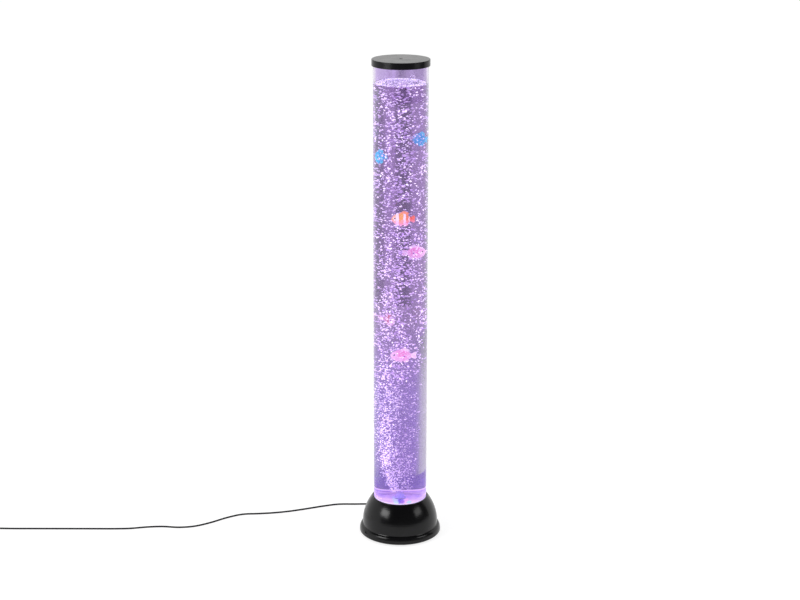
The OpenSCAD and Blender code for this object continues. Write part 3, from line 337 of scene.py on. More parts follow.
def circuit_board(name, base, dark, mask_scale):
    """Solder mask with traces that show through it."""
    look = Look(name, base, 0.35, Specular_IOR_Level=0.5)
    faces = {"Color1": (*base, 1), "Color2": (*scaled(base, 0.85), 1)}
    traces = {"Mortar": (*dark, 1), "Mortar Size": 0.08, "Mortar Smooth": 0.1}
    brick = look.node("ShaderNodeTexBrick", {"Vector": look.place(), "Scale": mask_scale, **faces, **traces})
    look.set("Base Color", brick.outputs["Color"])
    look.bump(brick.outputs["Fac"], 0.25, 0.00005)
    look.vary_roughness(0.28, 0.45, 200.0)
    return look


green_board = circuit_board("control_board_mask", (0.010, 0.16, 0.045), (0.03, 0.30, 0.09), 130.0)
white_board = circuit_board("led_board_mask", (0.80, 0.80, 0.78), (0.62, 0.62, 0.60), 90.0)

components = Look("board_components", (0.02, 0.02, 0.022), 0.35)
component_stops = [(0.42, (0.016, 0.016, 0.018)), (0.5, (0.05, 0.07, 0.14)), (0.58, (0.72, 0.72, 0.70))]
components.set("Base Color", components.ramp(components.noise(55.0, 1.0), component_stops))
components.vary_roughness(0.25, 0.5, 150.0)
components.grain(1800.0, 0.2)

hose_sockets = dict(Subsurface_Weight=0.25, Subsurface_Radius=(0.002, 0.002, 0.003), Coat_Weight=0.2)
hose_clear = Look("hose_silicone", (0.74, 0.78, 0.84), 0.25, **hose_sockets)
hose_clear.vary_colour((0.66, 0.70, 0.78), (0.80, 0.83, 0.88), 70.0)
hose_clear.vary_roughness(0.18, 0.35, 120.0)
hose_clear.grain(900.0, 0.08, 0.0001, (1, 1, 0.1))

wire_red = plastic("wire_red", (0.45, 0.02, 0.02), 0.4, 0.06, 0.08)
wire_dark = plastic("wire_dark", (0.03, 0.03, 0.035), 0.4, 0.06, 0.08)

# The LED packages glow in colours that go round the ring
led_look = Look("led_lit", (0.9, 0.85, 0.95), 0.3)
led_at = led_look.parts()
round_ring = led_look.remap(led_look.math("ARCTAN2", led_at["Y"], led_at["X"]), 0.0, 1.0, -math.pi, math.pi)
led_stops = [
    (0.0, (0.35, 0.25, 1.0)), (0.17, (0.1, 0.75, 1.0)), (0.33, (0.75, 0.2, 0.95)), (0.5, (0.2, 0.35, 1.0)),
    (0.67, (1.0, 0.3, 0.75)), (0.83, (0.15, 0.9, 0.8)), (1.0, (0.35, 0.25, 1.0)),
]
led_colour = led_look.ramp(round_ring, led_stops)
led_look.set("Emission Color", led_colour)
led_look.set("Base Color", led_colour)
led_look.set("Emission Strength", 4.0)
led_look.vary_roughness(0.2, 0.4, 400.0)
led_look.grain(1500.0, 0.1)

# Clear acrylic in the lamp's violet light
acrylic = Look("tube_acrylic", (0.84, 0.775, 0.92), 0.02, Transmission_Weight=1.0, IOR=1.49)
acrylic.vary_colour((0.82, 0.75, 0.91), (0.86, 0.80, 0.93), 7.0, (1, 1, 0.25), 3.0)
acrylic.vary_roughness(0.0, 0.035, 14.0, (1, 1, 0.2), 3.0)
lets_light_in(acrylic, (0.95, 0.92, 0.99))

# Water: violet light in it is stronger the longer the way through it
water_look = Look("water_violet", (0.985, 0.97, 1.0), 0.0, Transmission_Weight=1.0, IOR=1.333)
water_look.bump(water_look.noise(60.0, 3.0, (1, 1, 0.5)), 0.05, 0.0006)
water_look.vary_roughness(0.0, 0.02, 30.0)
lets_light_in(water_look, (0.99, 0.98, 1.0))
absorb = water_look.node("ShaderNodeVolumeAbsorption", {"Color": (0.25, 0.04, 0.36, 1.0), "Density": 13.0})
glow = water_look.node("ShaderNodeEmission", {"Color": (0.6, 0.28, 1.0, 1.0), "Strength": 1.35})
water_look.show(water_look.node("ShaderNodeAddShader", {0: absorb.outputs[0], 1: glow.outputs[0]}), "Volume")

# The disc under the water is lit from below by the ring of LEDs
disc_look = Look("disc_acrylic_lit", (0.80, 0.66, 0.98), 0.18, Transmission_Weight=0.35, IOR=1.49)
disc_at = disc_look.parts()
streaks = disc_look.noise(22.0, 5.0, (1.0, 4.0, 1.0))
disc_stops = [(0.35, (0.55, 0.40, 0.90)), (0.5, (0.76, 0.60, 0.98)), (0.65, (0.94, 0.78, 1.0))]
disc_tint = disc_look.ramp(streaks, disc_stops)

# Painted shade on the lit disc: dark arcs behind the middle, as (share of the radius, how dark)
arcs = [(0.0, 0.3), (0.4, 0.2), (0.52, 0.9), (0.62, 0.85), (0.7, 0.0), (0.8, 0.0), (0.87, 0.9), (0.94, 0.8), (1.0, 0.2)]
from_axis = disc_look.remap(disc_look.length(disc_look.stretched((1, 1, 0))), 0.0, 1.0, 0.0, 0.052)
dark_arcs = disc_look.ramp(from_axis, [(where, (f, f, f)) for where, f in arcs])
behind = disc_look.remap(disc_at["Y"], 0.0, 1.0, -0.012, 0.006)
broken = disc_look.remap(streaks, 1.0, 0.45, 0.4, 0.62)
dark_share = disc_look.math("MULTIPLY", disc_look.math("MULTIPLY", behind, dark_arcs), broken)
disc_tint = disc_look.mix(dark_share, disc_tint, (0.24, 0.12, 0.62))

# The lit parts under the disc shine through it as soft spots: x, y, half width, half depth, colour, share
led_spots = [
    (1.0, -24, 7.5, 20, (0.13, 0.09, 0.55), 0.95), (5, -30, 4, 12, (0.42, 0.12, 0.62), 0.6),
    (-8, -12, 5, 26, (0.55, 0.80, 1.0), 0.9), (-7, -34, 5, 14, (0.55, 0.95, 1.0), 0.9),
    (10.5, -16, 4.0, 12, (1.0, 0.60, 0.95), 0.9), (16.5, -32, 5, 12, (0.30, 0.90, 0.95), 0.85),
]
for x, y, wide, deep, spot, share in led_spots:
    squares = []
    for axis, middle, half in (("X", x, wide), ("Y", y, deep)):
        away = disc_look.math("DIVIDE", disc_look.math("SUBTRACT", disc_at[axis], middle * MM), half * MM)
        squares.append(disc_look.math("MULTIPLY", away, away))
    inside = disc_look.remap(disc_look.math("ADD", *squares), share, 0.0, 0.35, 1.3)
    disc_tint = disc_look.mix(inside, disc_tint, spot)
disc_look.set("Base Color", disc_tint)
disc_look.set("Emission Color", disc_tint)
disc_look.set("Emission Strength", 0.75)
disc_look.vary_roughness(0.1, 0.3, 40.0)
disc_look.grain(600.0, 0.1)

nozzle_glow = dict(Emission_Color=(0.42, 0.36, 0.88, 1.0), Emission_Strength=0.6)
nozzle_look = Look("nozzle_plastic_lit", (0.70, 0.62, 0.95), 0.3, **nozzle_glow)
nozzle_look.vary_colour((0.35, 0.35, 0.95), (0.70, 0.62, 1.0), 90.0)
nozzle_look.vary_roughness(0.2, 0.4, 120.0)
nozzle_look.grain(1200.0, 0.1)


def bubble_look(name, dull, bright, strength):
    """Air bubbles lit by the lamp: each one has a brightness of its own, and its top catches more light."""
    look = Look(name, bright, 0.08, Specular_IOR_Level=0.6)
    island = look.node("ShaderNodeNewGeometry").outputs
    colour = look.ramp(island["Random Per Island"], [(0.0, dull), (0.55, bright), (1.0, (1.0, 0.97, 1.0))])
    shade = look.remap(look.parts(island["Normal"])["Z"], 0.35, 1.0, -0.7, 0.5)
    lit = look.mix(shade, scaled(dull, 0.55), colour)
    look.set("Base Color", lit)
    look.set("Emission Color", lit)
    look.set("Emission Strength", strength)
    look.vary_roughness(0.03, 0.15, 500.0)
    return look


bubbles_low = bubble_look("bubbles_plume", (0.66, 0.52, 0.90), (0.92, 0.84, 0.98), 1.45)
bubbles_mid = bubble_look("bubbles_middle", (0.60, 0.44, 0.84), (0.90, 0.78, 0.96), 1.4)
bubbles_high = bubble_look("bubbles_upper", (0.58, 0.45, 0.78), (0.88, 0.78, 0.94), 1.3)
foam_look = bubble_look("bubbles_foam", (0.66, 0.54, 0.92), (0.90, 0.80, 1.0), 1.0)

by_node = {
    "lid": lid_black, "seat_gasket": seal_rubber, "tube_screws": screw_steel, "tube_bottom_disc": disc_look,
    "air_nozzle": nozzle_look, "nozzle_seals": seal_rubber, "nozzle_nut": white_plastic, "bubble_head": nozzle_look,
    "dome": gloss_black, "base_tray": tray_black, "rubber_feet": foot_rubber, "base_screws": screw_steel,
    "led_board": white_board, "leds": led_look, "led_board_screws": screw_steel, "control_board": green_board,
    "board_parts": components, "board_screws": screw_steel, "switch_body": switch_dark,
    "switch_plunger": white_plastic, "mode_button": button_black, "pump_housing": pump_grey,
    "pump_cover": cover_grey, "pump_core": laminate, "pump_bobbin": bobbin_cream, "pump_coil": copper,
    "pump_arm": arm_steel, "pump_pivot_pin": pin_steel, "pump_magnet": magnet_grey,
    "pump_diaphragm": membrane_rubber, "pump_valve_block": block_grey, "pump_valve_flaps": membrane_rubber,
    "pump_mounts": mount_rubber, "pump_screws": screw_steel, "check_valve_inlet": valve_white,
    "check_valve_outlet": valve_blue, "check_valve_disc": membrane_rubber, "pump_hose": hose_clear,
    "nozzle_hose": hose_clear, "led_wires": wire_red, "pump_wires": wire_dark, "supply_wires": wire_dark,
    "strain_relief": cord_black, "cord_tie": cord_black, "adaptor_case": case_black, "adaptor_cover": case_black,
    "adaptor_pins": plug_metal, "adaptor_relief": cord_black,
}
for name, look in by_node.items():
    for slot in nodes[name].material_slots:
        slot.material = look.material

# ------------------------------------------------------------------ cord

cord_route = [
    (0, 103.2, 11), (0, 108, 11), (-1, 116, 9), (-6, 126, 5), (-18, 134, 2.2), (-40, 136, 1.9),
    (-70, 135, 1.9), (-100, 134, 1.9), (-135, 133, 1.9), (-169, 122, 1.9), (-203, 108, 1.9),
    (-237, 95, 1.9), (-271, 86, 1.9), (-305, 81, 1.9), (-340, 77, 1.9), (-372, 59, 1.9),
    (-404, 33, 1.9), (-436, 14, 1.9), (-469, 8, 1.9), (-504, 12, 1.9), (-537, 9, 1.9),
    (-570, 2, 1.9), (-604, 0, 1.9), (-645, 0, 1.9), (-690, 0, 1.9), (-735, 0, 1.9), (-780, 0, 1.9),
    (-820, 0, 1.9), (-860, 0, 2.6), (-884, 0, 3), (-888, 0, 3),
]
CORD_D = 3.6
# The coil lies flat in two layers: turns wind inwards on the floor, then outwards on top of them
PITCH, COIL_R, TURNS, STEPS_A_TURN = 4.2, 28.0, 6.25, 24
MID_TURN, FLOOR_LAYER, TAIL = TURNS / 2, 3, 22


def smooth_route(points, steps):
    """A Catmull-Rom line through the points; its first and last spans are straight."""
    p = [np.array(v, float) for v in points]
    out = [p[0]]
    for a, b, c, d in zip(p, p[1:], p[2:], p[3:]):
        for k in range(steps):
            t = k / steps
            square, cube = 2 * a - 5 * b + 4 * c - d, 3 * b - a - 3 * c + d
            out.append(0.5 * (2 * b + (c - a) * t + square * t * t + cube * t**3))
    return out + [p[-2], p[-1]]


def coil_point(t):
    """A point of the coil after t turns; the radius passes its smallest value softly in the middle."""
    away = abs(t - MID_TURN)
    r = COIL_R - PITCH * (MID_TURN - (away if away > 0.25 else (away * away + 0.0625) / 0.5))
    s = min(1.0, max(0.0, (t - MID_TURN) / 0.5 + 0.5))
    a = math.radians(-90 - 360 * t)
    x, y, _ = cord_route[-1]
    up = FLOOR_LAYER + PITCH * s * s * (3 - 2 * s)
    return np.array([x - CORD_D + r * math.cos(a), y + COIL_R + r * math.sin(a), up])


coil = [coil_point(i / STEPS_A_TURN) for i in range(int(TURNS * STEPS_A_TURN) + 1)]
cord_line = smooth_route(cord_route, 6) + coil + [coil[-1] + (0, TAIL - CORD_D, 0), coil[-1] + (0, TAIL, 0)]
cord_points = [tuple(v * MM) for v in cord_line]

cord_curve = bpy.data.curves.new("cord_line", "CURVE")
cord_curve.dimensions = "3D"
cord_curve.bevel_depth = CORD_D / 2 * MM
cord_curve.bevel_resolution = 4
cord_curve.use_fill_caps = True
spline = cord_curve.splines.new("POLY")
spline.points.add(len(cord_points) - 1)
for point, where in zip(spline.points, cord_points):
    point.co = (*where, 1.0)
spline.use_smooth = True
cord = add_object("cord_line", cord_curve)
cord_curve.materials.append(cord_black.material)
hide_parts("cord", "cord_coil")

# ------------------------------------------------------------------ tube and water

TUBE_R, BORE_R = 55 * MM, 52 * MM
TUBE_Z, RIM_Z = 66 * MM, 997 * MM
DISC_TOP, WATER_Z = 80 * MM, 953 * MM
EDGE = 0.4 * MM


def wall_heights(low, high, steps=24):
    """Heights up a straight wall, with a close pair at either end that keeps the shading of its edges tight."""
    between = [low + (high - low) * i / steps for i in range(1, steps)]
    return [low, low + 0.3 * MM, low + 1.5 * MM] + between + [high - 1.5 * MM, high - 0.3 * MM, high]


def wall_end(z):
    """The end of the tube's wall from outside to inside, with its edges broken."""
    return [(r, z) for r in (TUBE_R - EDGE, TUBE_R - 2 * EDGE, BORE_R + 2 * EDGE, BORE_R + EDGE)]


wall = wall_heights(TUBE_Z + EDGE, RIM_Z - EDGE)
tube_profile = [(TUBE_R, z) for z in wall] + wall_end(RIM_Z)
tube_profile += [(BORE_R, z) for z in reversed(wall)] + wall_end(TUBE_Z)[::-1]
tube = add_object("tube_clear", outward(revolve("tube_clear", tube_profile, 256, True)))
tube.data.materials.append(acrylic.material)
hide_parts("tube")


def water_mesh():
    """Water that wets the wall: rippled on top, with a meniscus that climbs the tube."""
    wet, foot = BORE_R + 0.25 * MM, DISC_TOP - 0.15 * MM
    profile = [(0.0, foot), (20 * MM, foot), (wet - 0.6 * MM, foot), (wet - 0.1 * MM, foot)]
    profile += [(wet, z) for z in wall_heights(foot + 0.1 * MM, WATER_Z + 1.2 * MM)]
    for inwards, up in ((0.4, 1.0), (1.0, 0.6), (1.8, 0.3), (3.0, 0.1)):
        profile.append((BORE_R - inwards * MM, WATER_Z + up * MM))
    rows = 14
    profile += [((BORE_R - 5 * MM) * (1 - i / rows), WATER_Z) for i in range(rows)]
    profile.append((0.0, WATER_Z))
    m = revolve("water_column", profile, 256)
    for v in m.vertices:
        if v.co.z > WATER_Z - 1e-6 and math.hypot(v.co.x, v.co.y) < BORE_R - 1 * MM:
            v.co.z += 0.8 * MM * noise.noise(Vector((v.co.x * 70, v.co.y * 70, 3.1)))
    return outward(m)


water = add_object("water_column", water_mesh())
water.data.materials.append(water_look.material)
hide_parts("water")

# A fillet of cement in the corner between the disc and the tube
seam_profile = [
    (BORE_R - (0.2 + 1.5 * math.cos(a) ** 2) * MM, DISC_TOP + (0.1 + 2.4 * math.sin(a) ** 2) * MM)
    for a in np.linspace(0, math.pi / 2, 7)
]
seam_profile += [(BORE_R + out * MM, DISC_TOP + up * MM) for out, up in ((0.05, 2.5), (0.05, -0.3), (-1.7, -0.3))]
seam = add_object("disc_seam", outward(revolve("disc_seam", seam_profile, 160, True)))
# Painted light: the cement's violet tint and its glow stand in for the light of the LEDs below
seam_look = Look("disc_seam", (0.86, 0.76, 0.98), 0.2, Emission_Color=(0.86, 0.78, 1.0, 1.0))
seam_look.vary_colour((0.70, 0.58, 0.95), (0.96, 0.86, 1.0), 60.0, (1, 1, 4))
seam_look.vary_roughness(0.1, 0.3, 90.0)
# Painted light: the glow is brighter towards the back
seam_look.set("Emission Strength", seam_look.remap(seam_look.parts()["Y"], 0.55, 1.7, -0.01, 0.02))
seam.data.materials.append(seam_look.material)

# ------------------------------------------------------------------ fish

# Material numbers of a fish
SKIN, FIN, EYE, PUPIL = range(4)


class Builder:
    """Collects points and faces with a material number for each face."""

    def __init__(self):
        self.v, self.f, self.m = [], [], []

    def loft(self, rings, number):
        """A closed skin over rings of as many points each."""
        start, n = len(self.v), len(rings[0])
        for ring in rings:
            self.v += [tuple(p) for p in ring]
        quads = ring_faces(len(rings), n, start)
        last = start + (len(rings) - 1) * n
        self.f += quads + [tuple(start + k for k in reversed(range(n))), tuple(last + k for k in range(n))]
        self.m += [number] * (len(quads) + 2)

    def fin(self, root, tip, thick, bend=0.0, across=(0, 1, 0), rays=7):
        """A fin between a root line and a scalloped tip line, thin at its edge and ribbed by its rays."""
        nu, nv = 4 * rays + 1, 7
        across = np.array(across, float)
        rows = []
        for side in (1, -1):
            for j in range(nv):
                s = j / (nv - 1)
                row = []
                for i in range(nu):
                    u = i / (nu - 1)
                    a, b = np.array(line_at(root, u)), np.array(line_at(tip, u))
                    ripple = math.cos(2 * math.pi * rays * u)
                    scallop = 1 - 0.07 * (1 - ripple) / 2 * s
                    half = thick / 2 * (1 - 0.78 * s) * (0.75 + 0.25 * ripple)
                    wave = bend * s * s * (1 + 0.4 * math.sin(2 * math.pi * u))
                    row.append(a + (b - a) * s * scallop + across * (side * half + wave))
                rows.append(row)
        # a closed loop of points for each u: up the front, down the back
        order = list(range(nv)) + list(reversed(range(nv, 2 * nv)))
        self.loft([[rows[j][i] for j in order] for i in range(nu)], FIN)

    def eye(self, centre, radius, axis):
        """A round eye: a white bead with a dark pupil on it."""
        axis = np.array(axis, float) / np.linalg.norm(axis)
        side = np.cross(axis, (0, 0, 1.0))
        side /= np.linalg.norm(side)
        up = np.cross(side, axis)
        centre = np.array(centre, float)
        for number, size, lift in ((EYE, radius, 0.0), (PUPIL, radius * 0.58, radius * 0.42)):
            loops = []
            for j in range(6):
                a = math.pi / 2 * j / 5.2
                r, h = size * math.cos(a), size * 0.6 * math.sin(a) + lift
                loops.append([centre + axis * h + r * (c * side + s * up) for c, s in circle(16)])
            self.loft(loops, number)

    def mesh(self, name):
        m = mesh_from(name, self.v, self.f)
        m.polygons.foreach_set("material_index", self.m)
        return outward(m)


def line_at(points, u):
    """The point at share u of a line through points."""
    points = [np.array(p, float) for p in points]
    lengths = [np.linalg.norm(b - a) for a, b in zip(points, points[1:])]
    left = u * sum(lengths)
    for (a, b), l in zip(zip(points, points[1:]), lengths):
        if left <= l or b is points[-1]:
            return a + (b - a) * min(1.0, left / max(l, 1e-9))
        left -= l
    return points[-1]


def fish_mesh(name, l, h, t):
    """A little plastic fish that looks towards -X."""
    b = Builder()
    body_l, n, sides = 0.76 * l, 30, 28

    def half(s):
        """Half the height and half the thickness of the body at a share of its length."""
        wave = math.sin(math.pi * (0.02 + 0.93 * s) ** 0.8)
        bow = 0.18 * s
        return h / 2 * (0.82 * wave**0.75 + bow), t / 2 * (0.9 * wave**0.7 + bow / 2)

    rings = []
    for i in range(-3, n + 4):
        s = min(max(i / n, 0.0), 1.0)
        hh, tt = half(s)
        x = -l / 2 + body_l * s
        # the rings past either end round it off
        if i < 0:
            k = math.sqrt(max(0.0, 1 - ((-i) / 3.2) ** 2))
            hh, tt, x = hh * k, tt * k, x - 0.0006 * (-i) / 3
        if i > n:
            k = math.sqrt(max(0.0, 1 - ((i - n) / 4.0) ** 2))
            hh, tt, x = hh * k, tt * k, x + 0.0008 * (i - n) / 3
        ring = []
        for cos_a, sin_a in circle(sides):
            gill = 1.0 - 0.05 * math.exp(-(((x + 0.27 * l) / (0.012 * l)) ** 2)) * cos_a**2
            ring.append((x, -tt * cos_a * gill, hh * sin_a))
        rings.append(ring)
    b.loft(rings, SKIN)

    hl = h / l

    def flat(points):
        """A line in the fish's middle plane, from shares of its length."""
        return [(x * l, 0.0, z * l) for x, z in points]

    tail_root = [(0.2, 0.05), (0.21, 0.0), (0.2, -0.05)]
    tail_tip = [(0.44, 0.19), (0.5, 0.1), (0.47, 0.0), (0.5, -0.1), (0.44, -0.19)]
    b.fin(flat(tail_root), flat(tail_tip), 0.0016, 0.0012)
    back_root = [(-0.22, 0.36 * hl), (0.0, 0.40 * hl), (0.17, 0.24 * hl)]
    back_tip = [(-0.12, 0.42 * hl + 0.06), (0.0, 0.47 * hl + 0.1), (0.12, 0.44 * hl + 0.08), (0.22, 0.4 * hl + 0.04)]
    b.fin(flat(back_root), flat(back_tip), 0.0015, 0.0005)
    belly_root = [(-0.04, -0.36 * hl), (0.15, -0.26 * hl)]
    belly_tip = [(0.03, -0.42 * hl - 0.08), (0.12, -0.40 * hl - 0.07), (0.20, -0.34 * hl - 0.04)]
    b.fin(flat(belly_root), flat(belly_tip), 0.0014, -0.0005, rays=5)
    throat_root = [(-0.2, -0.38 * hl), (-0.1, -0.40 * hl)]
    throat_tip = [(-0.14, -0.42 * hl - 0.08), (-0.06, -0.42 * hl - 0.07)]
    b.fin(flat(throat_root), flat(throat_tip), 0.0013, 0.0003, rays=3)
    eye_s = 0.17
    hh, tt = half(eye_s)
    for side in (-1, 1):
        # breast fins: shares of the length along and up, and of the length out from the body's side
        root = [(-0.13 * l, side * t * 0.40, -0.02 * l), (-0.12 * l, side * t * 0.41, -0.08 * l)]
        tip = [(x * l, side * (t * 0.40 + out * l), z * l)
               for x, out, z in ((-0.02, 0.06, 0.0), (0.01, 0.05, -0.05), (-0.02, 0.03, -0.10))]
        b.fin(root, tip, 0.0011, 0.0, (0.35, side * 0.93, 0), 4)
        b.eye((-l / 2 + body_l * eye_s, side * (tt * 0.86), hh * 0.22), 0.042 * l, (-0.25, side * 1.0, 0.12))
    return b.mesh(name)


def fish_skin(name, stops, belly, spot=None, mottle=None):
    """Painted plastic that also glows with painted light: bands along the body with wavy edges, a paler belly, patches,
    and scales in the bump.

    spot is (x, z, radius, colour) and mottle is the patches' colour.
    """
    look = Look(name, stops[0][1], 0.22, Specular_IOR_Level=0.5, Coat_Weight=0.4, Coat_Roughness=0.08)
    at = look.parts()
    wobble = look.remap(look.noise(160.0, 2.0), -0.0016, 0.0016)
    along = look.math("ADD", at["X"], wobble)
    bands = look.ramp(look.remap(along, 0.0, 1.0, -0.022, 0.022), stops)
    down = look.remap(at["Z"], 1.0, 0.0, -0.012, 0.001)
    colour = look.mix(look.math("MULTIPLY", down, 0.85), bands, belly)
    if mottle:
        colour = look.mix(look.remap(look.noise(330.0, 2.0), 0.0, 0.9, 0.5, 0.6), colour, mottle)
    if spot:
        x, z, radius, tint = spot
        away = [look.math("SUBTRACT", at[axis], middle) for axis, middle in (("X", x), ("Z", z))]
        away = look.math("SQRT", look.math("ADD", *(look.math("MULTIPLY", d, d) for d in away)))
        colour = look.mix(look.remap(away, 1.0, 0.0, radius * 0.75, radius * 1.15), colour, tint)
    look.set("Base Color", colour)
    # Painted light: the fish glow in their own colours, standing in for the lamp's light in the water
    look.set("Emission Color", colour)
    look.set("Emission Strength", 0.9)
    scales = look.node("ShaderNodeTexVoronoi", {"Vector": look.place(), "Scale": 620.0})
    look.bump(scales.outputs["Distance"], 0.18, 0.0003)
    look.vary_roughness(0.15, 0.3, 200.0)
    return look


eye_white = plastic("fish_eye_white", (0.92, 0.92, 0.94), 0.15, 0.03, 0.02)
eye_black = plastic("fish_eye_black", (0.01, 0.01, 0.014), 0.1, 0.02, 0.02)
white = (0.93, 0.90, 0.95)

# Bands from the mouth to the tail, as (share of 44 mm, colour)
blue = (0.0, 0.56, 0.80)
blue_stops = [
    (0.0, (0.0, 0.80, 0.88)), (0.2, blue), (0.38, blue), (0.44, (0.30, 0.80, 0.95)), (0.52, blue), (0.74, blue),
    (1.0, (0.0, 0.60, 0.80)),
]
blue_fin_stops = [(0.0, (0.10, 0.82, 0.92)), (1.0, (0.05, 0.75, 0.85))]
blue_skin = fish_skin("fish_blue_paint_and_glow", blue_stops, (0.02, 0.68, 0.88), mottle=(0.0, 0.28, 0.64))
blue_fin = fish_skin("fish_blue_fins", blue_fin_stops, (0.08, 0.80, 0.86))

striped_stops = [
    (0.0, (0.93, 0.42, 0.22)), (0.17, (0.95, 0.55, 0.30)), (0.22, white), (0.28, white), (0.31, (0.93, 0.36, 0.06)),
    (0.47, (0.93, 0.42, 0.08)), (0.50, white), (0.57, white), (0.60, (0.85, 0.22, 0.07)), (0.69, (0.85, 0.20, 0.07)),
    (0.72, white), (0.76, (0.85, 0.10, 0.05)), (1.0, (0.90, 0.14, 0.05)),
]
striped_fin_stops = [
    (0.0, (0.95, 0.45, 0.35)), (0.6, (0.93, 0.30, 0.12)), (0.8, (0.80, 0.07, 0.04)), (1.0, (0.90, 0.16, 0.06)),
]
striped_skin = fish_skin("fish_striped_paint_and_glow", striped_stops, (0.98, 0.35, 0.60))
striped_fin = fish_skin("fish_striped_fins", striped_fin_stops, (0.98, 0.45, 0.70))

pink_stops = [
    (0.0, (1.0, 0.70, 0.86)), (0.2, (1.0, 0.50, 0.74)), (0.42, (0.98, 0.22, 0.56)), (0.62, (1.0, 0.34, 0.64)),
    (0.8, (1.0, 0.66, 0.84)), (1.0, (1.0, 0.86, 0.93)),
]
pink_fin_stops = [(0.0, (1.0, 0.84, 0.94)), (1.0, (1.0, 0.90, 0.96))]
dark_spot = (0.0005, -0.0005, 0.0014, (0.20, 0.08, 0.42))
pink_skin = fish_skin("fish_pink_paint_and_glow", pink_stops, (0.99, 0.66, 0.84), dark_spot, (1.0, 0.72, 0.88))
pink_fin = fish_skin("fish_pink_fins", pink_fin_stops, (1.0, 0.86, 0.95), mottle=(1.0, 0.55, 0.80))

red_stops = [
    (0.0, (0.90, 0.35, 0.45)), (0.25, white), (0.34, (0.80, 0.08, 0.16)), (0.5, (0.82, 0.10, 0.18)), (0.55, white),
    (0.64, (0.80, 0.10, 0.18)), (0.8, (0.95, 0.55, 0.70)), (1.0, (0.95, 0.70, 0.82)),
]
red_fin_stops = [(0.0, (0.90, 0.40, 0.52)), (1.0, (0.95, 0.72, 0.86))]
red_skin = fish_skin("fish_red_paint_and_glow", red_stops, (0.97, 0.62, 0.75))
red_fin = fish_skin("fish_red_fins", red_fin_stops, (0.95, 0.65, 0.80))

FISH_L, FISH_T = 44 * MM, 9 * MM
# x, y, height as a share of the water's depth, heading, share of FISH_L, height as a share of the length
shoal = {
    "blue_upper": (25, 26, 0.868, -50, 0.8, 0.78, blue_skin, blue_fin),
    "blue_lower": (-31, 0, 0.832, 37, 0.78, 0.78, blue_skin, blue_fin),
    "striped": (5.5, -29, 0.694, 0, 0.95, 0.66, striped_skin, striped_fin),
    "pink_upper": (20.5, 1, 0.608, 180, 0.86, 0.72, pink_skin, pink_fin),
    "red": (-15, 27, 0.439, 110, 0.8, 0.7, red_skin, red_fin),
    "pink_lower": (6, -14.5, 0.363, 0, 1.0, 0.62, pink_skin, pink_fin),
}
lanes = []
for name, (x, y, depth_share, heading, share, tall, skin, fin) in shoal.items():
    l = FISH_L * share
    o = bpy.data.objects.new("swimmer_" + name, fish_mesh("swimmer_" + name, l, l * tall, FISH_T))
    scene.collection.objects.link(o)
    place = Vector((x * MM, y * MM, DISC_TOP + depth_share * (WATER_Z - DISC_TOP)))
    o.matrix_world = Matrix.Translation(place) @ Matrix.Rotation(math.radians(heading), 4, "Z")
    bpy.context.view_layer.update()
    for look in (skin, fin, eye_white, eye_black):
        o.data.materials.append(look.material)
    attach(o, "swimmer_" + name)
    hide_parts("fish_" + name)
    lanes.append((place.x, place.y, math.radians(heading), l))

# ------------------------------------------------------------------ bubbles

rng = np.random.default_rng(11)


def in_lane(x, y, margin):
    """True where a fish could swim past, seen from above."""
    for cx, cy, a, l in lanes:
        dx, dy = x - cx, y - cy
        u, v = dx * math.cos(a) + dy * math.sin(a), -dx * math.sin(a) + dy * math.cos(a)
        half = 3.6 * MM + 4.2 * MM * max(0.0, 1 - abs(u / (0.56 * l)) ** 2.2) * 0.6
        if abs(u) < l / 2 + margin and abs(v) < half + margin:
            return True
    return False


ico = bmesh.new()
bmesh.ops.create_icosphere(ico, subdivisions=2, radius=1.0)
ico.verts.ensure_lookup_table()
ICO_V = np.array([v.co[:] for v in ico.verts])
ICO_F = np.array([[v.index for v in f.verts] for f in ico.faces])
ico.free()


def bubble_mesh(name, places, sizes, flat=(0.42, 0.72), tilt=0.4):
    """One mesh of many wobbling bubbles: flattened, tilted and a little dented."""
    all_v, all_f = [], []
    for i, (p, s) in enumerate(zip(places, sizes)):
        axes = np.array([1.0, rng.uniform(0.62, 1.0), rng.uniform(*flat)])
        dent = 1 + 0.16 * np.sin(ICO_V @ rng.uniform(-2.6, 2.6, 3) + rng.uniform(0, 6.28))
        turn_ = np.array(Euler((rng.normal(0, tilt), rng.normal(0, tilt), rng.uniform(0, 6.28))).to_matrix())
        all_v.append((ICO_V * dent[:, None] * axes * s) @ turn_.T + p)
        all_f.append(ICO_F + i * len(ICO_V))
    return mesh_from_arrays(name, np.concatenate(all_v), np.concatenate(all_f))


def lerp(a, b, t):
    return a + (b - a) * min(1.0, max(0.0, t))


# Where the middle of the dense stream runs, as (height, x, y) in mm: up from the head, leaning to the left
stream_line = [
    (92, -3, -2), (110, -11, -5), (136, -19, -13), (165, -24, -19), (203, -26, -22), (292, -22, -22), (358, -16, -16),
    (480, -6, -8), (660, 0, 0),
]


def stream_at(z):
    for (z0, *low), (z1, *high) in zip(stream_line, stream_line[1:]):
        if z <= z1:
            return [lerp(a, b, (z - z0) / (z1 - z0)) for a, b in zip(low, high)]
    return [0.0, 0.0]


# How far from the axis a bubble reaches, and the room that the bubble head takes, in mm
STILL_R, HEAD_TOP, HEAD_R = 50.6, 96, 8.5


